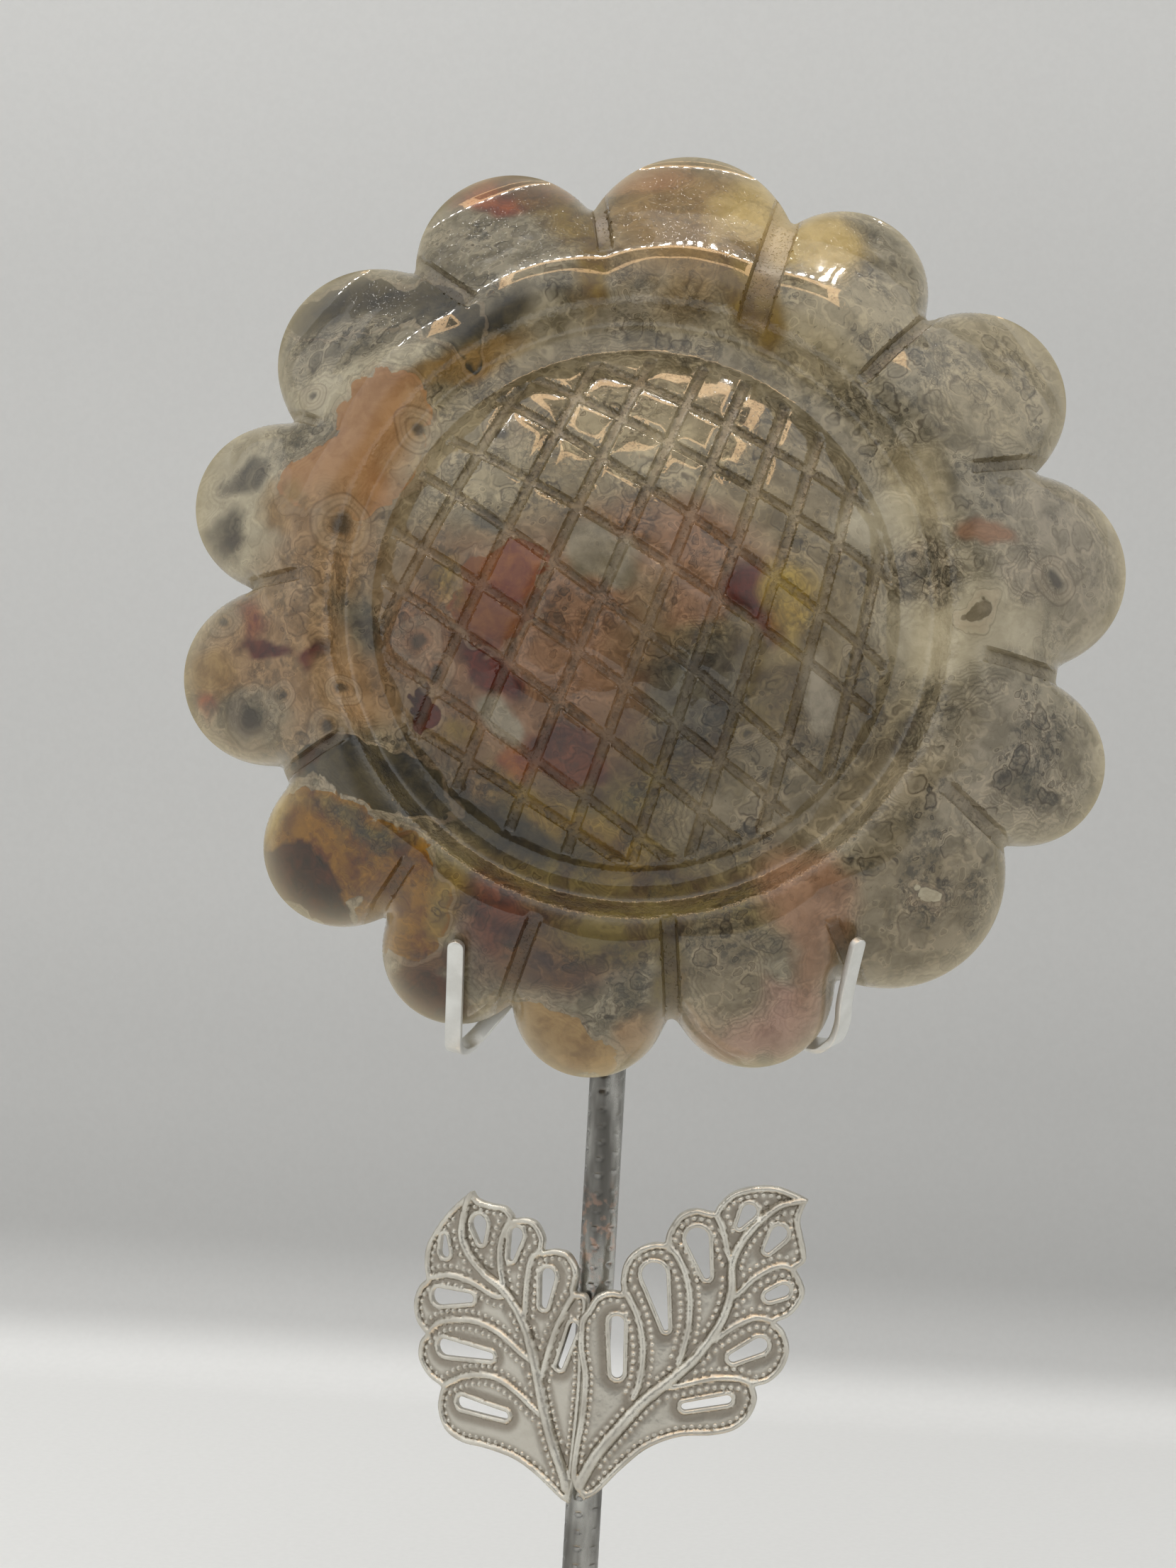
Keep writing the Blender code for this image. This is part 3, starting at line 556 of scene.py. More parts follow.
def ring_line(ring, sides):
    pull = 1.0 - smooth_step(ring, DOME_EDGE, RING_CENTRED_FROM)
    turn = np.linspace(0, 2 * math.pi, sides, endpoint=False)
    return np.c_[DOME_CENTRE[0] * pull + ring * np.cos(turn), DOME_CENTRE[1] * pull + ring * np.sin(turn)]


def ring_height(ring):
    dome = DOME_TOP - DOME_CURVE + np.sqrt(DOME_CURVE**2 - np.clip(ring, 0, DOME_EDGE) ** 2)
    profile = spline(RING_PROFILE, 16)
    return np.where(ring < DOME_EDGE, dome, np.interp(ring, profile[:, 0], profile[:, 1]))


def crown_drop(points, ring):
    """How much lower a petal is towards its two sides than along its middle."""
    heading = np.degrees(np.arctan2(points[:, 1], points[:, 0])) % 360
    off = np.min([np.abs((heading - petal + 180) % 360 - 180) for petal, _, _ in PETALS], axis=0)
    drop = PETAL_CROWN * np.clip(off / PETAL_HALF_ANGLE, 0, 1.2) ** 2
    return drop * smooth_step(ring, CROWN_FROM, CROWN_FULL)


def polar(radius, heading):
    return np.array((radius * math.cos(math.radians(heading)), radius * math.sin(math.radians(heading))))


def along_and_across(points, start, end):
    """Distance along a straight cut and across it."""
    direction = (end - start) / np.hypot(*(end - start))
    offset = points - start
    return offset @ direction, offset[:, 0] * -direction[1] + offset[:, 1] * direction[0]


def petal_grooves(points):
    """How deep the grooves between petals are at each point, and how far each point is inside their cut."""
    depth = np.zeros(len(points))
    cut = np.zeros(len(points))
    for rim_heading, inner_heading, inner, width, deep in PETAL_GROOVES:
        start, end = polar(inner, inner_heading), polar(GROOVE_REACH, rim_heading)
        along, across = along_and_across(points, start, end)
        wall = 1.0 - smooth_step(np.abs(across), width / 2 - GROOVE_WALL, width / 2)
        shape = wall * smooth_step(along, 0.0, GROOVE_END)
        depth = np.maximum(depth, deep * shape)
        cut = np.maximum(cut, shape)
    return depth, cut


def cut_line(heading, offset):
    """The two ends of a straight cut on the dome."""
    direction = polar(1.0, heading)
    middle = np.array(DOME_CENTRE) + offset * np.array((-direction[1], direction[0]))
    half = math.sqrt(CUT_REACH**2 - offset**2)
    return middle - half * direction, middle + half * direction


def dome_cuts(points, ring):
    """How far each point is inside the dome's cuts, and how much it is eased as one of their lips."""
    cut = np.zeros(len(points))
    easing = np.zeros(len(points))
    for cuts, width in ((STEEP_CUTS, STEEP_CUT_WIDTH), (SLANTING_CUTS, SLANTING_CUT_WIDTH)):
        for heading, offset in cuts:
            _, across = along_and_across(points, *cut_line(heading, offset))
            cut = np.maximum(cut, 1.0 - smooth_step(np.abs(across), width / 2 - CUT_WALL, width / 2))
            lip = np.clip(1.0 - (np.abs(across) - width / 2) / LIP_ROUND, 0.0, 1.0)
            easing = np.maximum(easing, lip**2)
    reach = 1.0 - smooth_step(ring, CUT_REACH - CUT_FADE, CUT_REACH)
    return cut * reach, easing * reach


def rim_distance(points):
    return distance_to_line(points, closed(flower_outline()))


def flower_front(points):
    ring = ring_of(points)
    height = ring_height(ring) - crown_drop(points, ring)
    groove, _ = petal_grooves(points)
    cut, easing = dome_cuts(points, ring)
    height -= np.maximum(groove, np.maximum(CUT_DEPTH * cut, LIP_DROP * easing))
    edge = np.clip(rim_distance(points) / RIM_FRONT_ROUND, 0, 1)
    base = RIM_MIDDLE + RIM_FLAT
    return base + (height - base) * np.sqrt(1 - (1 - edge) ** 2)


def flower_back(points):
    edge = np.clip(rim_distance(points) / RIM_BACK_ROUND, 0, 1)
    return (RIM_MIDDLE - RIM_FLAT) * (1 - np.sqrt(1 - (1 - edge) ** 2))


def points_along(start, end, spacing):
    steps = max(2, int(np.hypot(*(end - start)) / spacing) + 1)
    return start + np.linspace(0, 1, steps)[:, None] * (end - start)


def within_outline(points, inset):
    """Whether each point is more than this far inside the flower's outline."""
    return np.hypot(*points.T) < petal_reach(np.arctan2(points[:, 1], points[:, 0])) - inset


def groove_points():
    """Points along the lips, walls and floors of the grooves between petals, kept inside the rim."""
    found = []
    for rim_heading, inner_heading, inner, width, _ in PETAL_GROOVES:
        start, end = polar(inner, inner_heading), polar(GROOVE_REACH, rim_heading)
        along = (end - start) / np.hypot(*(end - start))
        across = np.array((-along[1], along[0]))
        for from_lip in GROOVE_LINES:
            for side in (-1, 1):
                shift = side * (width / 2 + from_lip) * across
                line = points_along(start + shift, end + shift, LINE_SPACING)
                found.append(line[within_outline(line, LINE_MARGIN)])
    return np.vstack(found)


def cut_points():
    """Points along the lips, walls and floors of the cuts on the dome."""
    found = []
    for cuts, width in ((STEEP_CUTS, STEEP_CUT_WIDTH), (SLANTING_CUTS, SLANTING_CUT_WIDTH)):
        for heading, offset in cuts:
            for from_lip in CUT_LINES:
                for side in (-1, 1):
                    place = offset + side * (width / 2 + from_lip)
                    if abs(place) < CUT_REACH - LINE_MARGIN:
                        found.append(points_along(*cut_line(heading, place), LINE_SPACING))
    return np.vstack(found)


def field_within_outline(spacing, inset):
    """Points spread over the flower, more than this far inside its outline."""
    field = field_of_points((-FIELD_HALF, -FIELD_HALF), (FIELD_HALF, FIELD_HALF), spacing)
    return field[within_outline(field, inset)]


def front_points():
    """Points of the flower's front: on its shoulders, cuts and dome's edge, and a field between them."""
    shoulders = [flower_outline(inset) for inset in SHOULDER_INSETS]
    rings = [ring_line(ring, int(ring * RING_DENSITY)) for ring in DOME_RINGS]
    lines = np.vstack([groove_points(), cut_points(), *rings])
    clear = distance_to_line(lines, closed(shoulders[-1])) > SHOULDER_CLEAR
    clear |= ~inside(lines, shoulders[-1:]) & (rim_distance(lines) > NEAREST)
    field = field_within_outline(FRONT_SPACING, FRONT_INSET)
    return np.vstack([*shoulders, spread_out(np.vstack([lines[clear], field]), NEAREST)])


def back_points():
    shoulders = [flower_outline(inset) for inset in BACK_INSETS]
    return np.vstack([*shoulders, field_within_outline(BACK_SPACING, BACK_INSET)])


def ring_mask(rings, middle, half):
    """1 on one ring round the dome, falling off on both sides of it."""
    return np.exp(-(((rings - middle) / half) ** 2))


def mark_flower(flower):
    """Keeps on the points what the material reads: the cuts, rim and rings, and the stone's layers."""
    places = local_points(flower)
    flat, on_front = places[:, :2], places[:, 2] > RIM_MIDDLE
    rings = ring_of(flat)
    # The cut mask makes the cuts and grooves matt, and its colour also darkens them as painted shade
    cuts = np.maximum(GROOVE_DULL_AND_SHADED * petal_grooves(flat)[1], dome_cuts(flat, rings)[0])
    mark(flower, "cut", cuts * on_front)
    # How near the rim each point is, for a pale glow painted there as light shining through the thin stone
    mark(flower, "rim", np.exp(-rim_distance(flat) / RIM_GLOW_REACH))
    # Where the valley round the dome is painted lighter, to lift the shade that falls in it
    mark(flower, "painted_valley_light", ring_mask(rings, VALLEY_RING, VALLEY_HALF) * on_front)
    mark(flower, "chatter", ring_mask(rings, STEP_RING, STEP_HALF) * on_front)
    soft, crisp, outside, shell = stone_layers(flat)
    for layers, kind in ((soft, "soft"), (crisp, "crisp")):
        tint(flower, kind + " light", layers[0])
        tint(flower, kind + " dark", layers[1])
        mark(flower, kind + " calm", layers[2][:, 0])
    mark(flower, "outside crisp", outside)
    mark(flower, "shell", shell)
    mark(flower, "eye", eye_reach(flat))


def build_flower():
    """The carved stone, with its relief in its mesh and its markings kept on its points."""
    loops = [flower_outline()]
    flower = plate("lace_agate_flower", loops, front_points(), back_points(), flower_front, flower_back)
    mark_flower(flower)
    place_in_flower_frame(flower)
    return flower


def flower_place():
    """The middle of the flower's back in the world, in millimetres."""
    lean = math.radians(FLOWER_LEAN)
    back = STEM_BEND_BELOW_CENTRE * math.sin(lean) + STEM_PLANE * math.cos(lean)
    return FLOWER_SHIFT, back, FLOWER_HEIGHT


def place(made, location, turns):
    """Turns a piece that is drawn in its own plane and moves it to its place, in its mesh."""
    made.data.transform(Matrix.LocRotScale(Vector(location) * MM, Euler(turns), None))


def place_in_flower_frame(made):
    """Leans a piece drawn in the flower's frame back and lifts it to its place on the stand."""
    place(made, flower_place(), FLOWER_TURNS)


# The strips, the stem and the foot


def strip_section():
    """The strip's section from -1 to 1 both ways, with its four corners eased."""
    ease_across, ease_deep = STRIP_EASE / (STRIP_WIDTH / 2), STRIP_EASE / (STRIP_THICKNESS / 2)
    section = []
    for corner, (side, face) in enumerate(STRIP_CORNERS):
        for turn in np.linspace(0, math.pi / 2, STRIP_CORNER_STEPS):
            angle = corner * math.pi / 2 + turn
            across = side * (1 - ease_across) + ease_across * math.cos(angle)
            deep = face * (1 - ease_deep) + ease_deep * math.sin(angle)
            section.append((across, deep))
    return section


def build_strip(name, route):
    """A flat metal strip along a route, its four edges eased and its tip rounded off."""
    path = spline([point for point, _ in route], STRIP_STEPS)
    widths = spline([width for _, width in route], STRIP_STEPS)
    step = path[-1] - path[-2]
    step /= np.linalg.norm(step)
    tip = np.sin(np.linspace(0, math.pi / 2, TIP_STEPS + 1)[1:])
    path = np.vstack([path, path[-1] + np.outer(tip * (STRIP_WIDTH / 2 - TIP_SETBACK), step)])
    widths = np.vstack([widths, np.repeat(widths[-1:], TIP_STEPS, axis=0)])
    narrowing = np.concatenate([np.ones(len(path) - TIP_STEPS), np.sqrt(TIP_BLUNT - tip**2)])
    tangents = np.gradient(path, axis=0)
    section = strip_section()
    points = []
    for middle, width, tangent, part in zip(path, widths, tangents, narrowing):
        tangent = tangent / np.linalg.norm(tangent)
        width = width - (width @ tangent) * tangent
        width *= STRIP_WIDTH / 2 / np.linalg.norm(width)
        depth = np.cross(tangent, width)
        depth *= STRIP_THICKNESS / 2 / np.linalg.norm(depth)
        thin = min(1.0, TIP_THIN + (1.0 - TIP_THIN) * part)
        points += [middle + part * across * width + thin * deep * depth for across, deep in section]
    strip = make_piece(name, points, tube_faces(len(path), len(section)), crease=60.0)
    place_in_flower_frame(strip)
    return strip


def tube_faces(sections, sides):
    """Side faces between sections of as many points, and the two end faces."""
    faces = [tuple(range(sides))[::-1], tuple(range((sections - 1) * sides, sections * sides))]
    for section in range(sections - 1):
        for side in range(sides):
            here, there = section * sides + side, section * sides + (side + 1) % sides
            faces.append((here, there, there + sides, here + sides))
    return faces


def stem_route():
    """The stem's axis: straight up from the base, then bent to lie along the flower's back."""
    lean = math.radians(FLOWER_LEAN)
    bend_height = FLOWER_HEIGHT - STEM_BEND_BELOW_CENTRE * math.cos(lean) + STEM_PLANE * math.sin(lean)
    half = STEM_BEND_RADIUS * math.tan(lean / 2)
    route = [(0, 0, BASE_THICKNESS + GAP), (0, 0, bend_height - half)]
    for step in range(1, STEM_BEND_STEPS + 1):
        turn = lean * step / STEM_BEND_STEPS
        back = STEM_BEND_RADIUS * (1 - math.cos(turn))
        route.append((0, back, bend_height - half + STEM_BEND_RADIUS * math.sin(turn)))
    straight = STEM_BEND_BELOW_CENTRE + STEM_TOP_ABOVE_CENTRE - half
    last = route[-1]
    route.append((0, last[1] + straight * math.sin(lean), last[2] + straight * math.cos(lean)))
    return np.array(route)


def nick_depth(height, turn):
    """Depth of the crescent nicks at a height along the stem and a turn round it."""
    depth = np.zeros_like(height)
    for column in range(NICK_COLUMNS):
        middle = 2 * math.pi * column / NICK_COLUMNS + NICK_FIRST_TURN
        off = ((turn - middle + math.pi) % (2 * math.pi) - math.pi) * STEM_RADIUS
        shift = NICK_PITCH * (NICK_STAGGER * column % 1.0)
        row = np.floor((height - shift) / NICK_PITCH)
        jitter = NICK_JITTER * np.sin(row * NICK_JITTER_TURNS[0] + column * NICK_JITTER_TURNS[1])
        up = (height - shift) - (row + 0.5 + jitter) * NICK_PITCH
        sag = NICK_SAG * (1 - (off / NICK_HALF_WIDTH) ** 2)
        within = np.clip(1 - (off / NICK_HALF_WIDTH) ** 2, 0, 1)
        fall = np.clip((up + sag) / np.maximum(sag + 0.05, 1e-6), 0, 1)
        nick = within * np.where((up > -sag) & (up < NICK_UPPER_EDGE), fall, 0)
        depth = np.maximum(depth, NICK_DEPTH * nick * smooth_step(height, NICKS_FROM, NICKS_FULL))
    return depth


def build_stem():
    """A round rod with staggered rows of small crescent nicks punched into it."""
    route = stem_route()
    lengths = np.concatenate([[0], np.cumsum(np.linalg.norm(np.diff(route, axis=0), axis=1))])
    stations = np.linspace(0, lengths[-1], int(lengths[-1] / STEM_STATION))
    path = np.c_[[np.interp(stations, lengths, route[:, axis]) for axis in range(3)]].T
    tangents = np.gradient(path, axis=0)
    tangents /= np.linalg.norm(tangents, axis=1)[:, None]
    turns = np.linspace(0, 2 * math.pi, STEM_SIDES, endpoint=False)
    height, turn = np.meshgrid(stations, turns, indexing="ij")
    depth = nick_depth(height, turn)
    side = np.array((1.0, 0.0, 0.0))
    forward = np.cross(tangents, side)
    radius = STEM_RADIUS - depth
    points = (
        path[:, None, :]
        + (radius * np.cos(turn))[:, :, None] * side
        + (radius * np.sin(turn))[:, :, None] * forward[:, None, :]
    )
    faces = tube_faces(len(stations), STEM_SIDES)
    stem = make_piece("punched_stem", points.reshape(-1, 3), faces, crease=50.0)
    mark(stem, "hollow", depth.ravel() / NICK_DEPTH)
    return stem


def build_foot():
    """A plain turned foot: flat underside, straight wall and a softly rounded upper edge."""
    ease = FOOT_EASE
    rings = [(BASE_RADIUS - ease, 0.0), (BASE_RADIUS - ease / 4, ease / 4), (BASE_RADIUS, ease)]
    for step in range(FOOT_EDGE_STEPS + 1):
        turn = math.pi / 2 * step / FOOT_EDGE_STEPS
        out, up = BASE_EDGE * math.cos(turn), BASE_EDGE * math.sin(turn)
        rings.append((BASE_RADIUS - BASE_EDGE + out, BASE_THICKNESS - BASE_EDGE + up))
    rings += [(radius, BASE_THICKNESS) for radius in FOOT_RINGS]
    points = [(0.0, 0.0, 0.0), (0.0, 0.0, BASE_THICKNESS)]
    for radius, height in rings:
        for side in range(FOOT_SIDES):
            turn = 2 * math.pi * side / FOOT_SIDES
            points.append((radius * math.cos(turn), radius * math.sin(turn), height))
    top = 2 + (len(rings) - 1) * FOOT_SIDES
    faces = []
    for side in range(FOOT_SIDES):
        after = (side + 1) % FOOT_SIDES
        faces.append((0, 2 + after, 2 + side))
        faces.append((1, top + side, top + after))
        for low in range(2, top, FOOT_SIDES):
            faces.append((low + side, low + after, low + FOOT_SIDES + after, low + FOOT_SIDES + side))
    return make_piece("turned_foot", points, faces, crease=50.0)


# The leaves


def slot_loop(first, second):
    """A rounded slot: two arcs of different radius joined by straight sides."""
    (x0, y0, r0), (x1, y1, r1) = first, second
    length = math.hypot(x1 - x0, y1 - y0)
    heading = math.atan2(y1 - y0, x1 - x0)
    opening = math.acos((r0 - r1) / length)
    loop = []
    for centre_x, centre_y, radius, start, end in (
        (x1, y1, r1, heading - opening, heading + opening),
        (x0, y0, r0, heading + opening, heading + 2 * math.pi - opening),
    ):
        for step in range(SLOT_END_POINTS):
            turn = start + (end - start) * step / (SLOT_END_POINTS - 1)
            loop.append((centre_x + radius * math.cos(turn), centre_y + radius * math.sin(turn)))
    loop = np.array(loop)
    sides = zip(loop, np.roll(loop, -1, axis=0))
    return np.vstack([points_along(start, end, LEAF_SPACING)[:-1] for start, end in sides])


def evenly(line, spacing):
    """The same line with points this far apart."""
    lengths = np.concatenate([[0], np.cumsum(np.hypot(*np.diff(line, axis=0).T))])
    stations = np.linspace(0, lengths[-1], max(2, int(lengths[-1] / spacing) + 1))
    return np.c_[np.interp(stations, lengths, line[:, 0]), np.interp(stations, lengths, line[:, 1])]


def beside(line, offset):
    across = np.gradient(line, axis=0)[:, ::-1] * (-1, 1)
    across /= np.maximum(np.hypot(*across.T), 1e-9)[:, None]
    return line + offset * across


def distance_to_any(points, lines):
    return np.min([distance_to_line(points, line) for line in lines], axis=0)


def half_round(away, half):
    """The height, 0 to 1, of a half-round wire this far from its middle."""
    return np.sqrt(np.clip(1.0 - (away / half) ** 2, 0.0, 1.0))


def bead_places(rims, outline, slots, midrib):
    """Middles of the beads, which follow every rim and rib at one distance."""
    places = []
    for line in rims + [midrib]:
        for side in (-1, 1):
            row = beside(evenly(line, BEAD_ROW_STEP), side * BEAD_ROW)
            keep = inside(row, [outline])
            keep &= distance_to_any(row, rims + [midrib]) > BEAD_ROW - BEAD_ROW_STEP
            for slot in slots:
                keep &= (distance_to_line(row, closed(slot)) > BEAD_SLOT_CLEAR) & ~inside(row, [slot])
            for point in row[keep]:
                if all((point[0] - x) ** 2 + (point[1] - y) ** 2 >= BEAD_PITCH**2 for x, y in places):
                    places.append(tuple(point))
    return np.array(places)


class LeafShape:
    """The lines of one leaf and the heights of its two faces over its plane."""

    def __init__(self, leaf):
        lobes = [spline(lobe, LEAF_STEPS)[:-1] for lobe in leaf["lobes"]]
        self.outline = evenly(closed(np.vstack(lobes)), LEAF_SPACING)[:-1]
        self.slots = [slot_loop(*slot) for slot in leaf["slots"]]
        self.midrib = spline(leaf["midrib"], LEAF_STEPS)
        self.veins = [spline(vein, LEAF_STEPS) for vein in leaf["veins"]]
        self.loops = [self.outline] + self.slots
        self.beads = bead_places([closed(self.outline)] + self.veins, self.outline, self.slots, self.midrib)

    def sheet(self, points):
        """The leaf's back, cupped along its midrib and curled back towards its tip."""
        out = np.abs(points[:, 0])
        away = distance_to_line(points, self.midrib)
        curl = LEAF_CURL * np.clip(out - LEAF_CURL_FROM, 0, None) ** 2
        return -curl - LEAF_CUP * away**2 * smooth_step(out, LEAF_CUP_FROM, LEAF_CUP_FULL)

    def relief(self, points):
        """Height over the sheet, and how deep in the hollows between rims and beads each point is."""
        edge = distance_to_line(points, closed(self.outline))
        from_midrib = distance_to_line(points, self.midrib)
        ridges = np.minimum(edge - RIM_HALF, from_midrib - MIDRIB_HALF)
        rise = RIM_RISE * half_round(edge - RIM_HALF * 0.8, RIM_HALF)
        for vein in self.veins:
            away = distance_to_line(points, vein)
            ridges = np.minimum(ridges, away - VEIN_HALF)
            rise = np.maximum(rise, VEIN_RISE * half_round(away, VEIN_HALF))
        from_slot = distance_to_any(points, [closed(slot) for slot in self.slots])
        rise = np.maximum(rise, SLOT_RIDGE_RISE * half_round(from_slot - SLOT_RIDGE_OUT, SLOT_RIDGE_HALF))
        ridges = np.minimum(ridges, from_slot - SLOT_RIDGE_OUT - SLOT_RIDGE_HALF)
        rise = np.maximum(rise, PAD_RISE * smooth_step(ridges, PAD_FROM, PAD_FULL))
        for x, y in self.beads:
            near = np.abs(points[:, 0] - x) + np.abs(points[:, 1] - y) < 2 * BEAD_RADIUS
            away = np.hypot(points[near, 0] - x, points[near, 1] - y)
            rise[near] = np.maximum(rise[near], BEAD_RISE * half_round(away, BEAD_RADIUS))
        stations = self.midrib[::4]
        nearest = np.argmin([np.hypot(points[:, 0] - x, points[:, 1] - y) for x, y in stations], axis=0)
        left = np.linspace(1.0, 0.0, len(self.midrib))[::4][nearest]
        half = MIDRIB_HALF * (MIDRIB_TIP_PART + (1.0 - MIDRIB_TIP_PART) * left)
        rise = np.maximum(rise, MIDRIB_RISE * half_round(from_midrib, half))
        return rise, 1.0 - smooth_step(rise, 0.0, HOLLOW_DEPTH)

    def front(self, points):
        rise, _ = self.relief(points)
        edge = np.clip(distance_to_line(points, closed(self.outline)) / LEAF_EDGE_ROUND, 0, 1)
        return self.sheet(points) + LEAF_FLOOR + rise - LEAF_EDGE_ROUND * (1 - np.sqrt(1 - (1 - edge) ** 2))

    def on_metal(self, points, clear):
        """The points that are on the leaf's metal and more than this far from its edges."""
        points = points[inside(points, self.loops)]
        return points[distance_to_any(points, [closed(loop) for loop in self.loops]) > clear]

    def field(self, spacing):
        return field_of_points(self.outline.min(axis=0), self.outline.max(axis=0), spacing)

    def front_points(self):
        """Points on the beads, across the wires and beside the rims, and a field between them."""
        points = []
        for x, y in self.beads:
            for part, count in BEAD_CIRCLES:
                turn = np.linspace(0, 2 * math.pi, count, endpoint=False)
                radius = BEAD_RADIUS * part
                points.append(np.c_[x + radius * np.cos(turn), y + radius * np.sin(turn)])
        lines = [(evenly(self.midrib, WIRE_SPACING), [part * MIDRIB_HALF for part in WIRE_LINES])]
        for vein in self.veins:
            lines.append((evenly(vein, WIRE_SPACING), [part * VEIN_HALF for part in WIRE_LINES]))
        lines.append((closed(self.outline), RIM_LINES))
        lines += [(closed(slot), SLOT_LINES) for slot in self.slots]
        for line, shifts in lines:
            points += [beside(line, side * shift) for shift in shifts for side in (-1, 1)]
        points = np.vstack(points + [self.field(LEAF_SPACING)])
        return spread_out(self.on_metal(points, LEAF_CLEAR), NEAREST)

    def back_points(self):
        return self.on_metal(self.field(LEAF_BACK_SPACING), LEAF_BACK_CLEAR)


def build_leaf(name, leaf):
    """A pierced leaf with wire rims, a midrib, ridged slots and rows of beads, its tip curled back."""
    shape = LeafShape(leaf)
    made = plate(name, shape.loops, shape.front_points(), shape.back_points(), shape.front, shape.sheet)
    _, hollow = shape.relief(local_points(made)[:, :2])
    mark(made, "hollow", hollow)
    place(made, (0, -leaf["plane"], LEAF_BASE_HEIGHT), (math.pi / 2, 0, math.radians(-leaf["turn"])))
    return made


# The looks of the stone and the metal

# Each colour of the stone as it looks in soft light, its light and its dark shade, 0 to 255
STONE_COLOURS = {
    "ground": ((130, 123, 108), (94, 89, 78)),
    "smoke": ((124, 113, 93), (96, 87, 72)),
    # Painted shade: the colour of the lower dome, darker where less light falls
    "painted lower shade": ((100, 91, 74), (76, 69, 56)),
    "grey": ((132, 124, 110), (107, 101, 89)),
    "pale grey": ((144, 134, 113), (117, 109, 92)),
    "milk": ((154, 146, 127), (138, 130, 112)),
    "taupe": ((124, 115, 99), (99, 92, 79)),
    "tan": ((130, 110, 82), (110, 92, 68)),
    "cream": ((136, 115, 86), (108, 89, 67)),
    "yellow": ((170, 149, 106), (146, 126, 84)),
    "honey": ((140, 122, 78), (120, 102, 66)),
    "mustard": ((122, 95, 48), (90, 71, 40)),
    "ochre": ((118, 102, 72), (94, 81, 58)),
    "olive": ((102, 93, 72), (82, 74, 58)),
    "peach": ((144, 115, 89), (128, 100, 77)),
    "pale peach": ((138, 117, 94), (112, 94, 76)),
    "orange": ((122, 88, 66), (98, 70, 54)),
    "rust": ((133, 85, 61), (96, 65, 49)),
    "red brown": ((90, 52, 38), (67, 43, 33)),
    "maroon": ((100, 76, 63), (78, 59, 51)),
    "mauve": ((98, 82, 69), (75, 63, 54)),
    "brown": ((84, 61, 35), (62, 47, 30)),
    "rose": ((124, 101, 85), (100, 82, 69)),
    "salmon": ((132, 108, 91), (114, 92, 77)),
    "pink": ((142, 119, 107), (118, 97, 87)),
    "blotch": ((114, 86, 67), (98, 74, 57)),
    "slate": ((86, 81, 71), (68, 64, 56)),
    "blue grey": ((100, 95, 84), (76, 72, 63)),
}

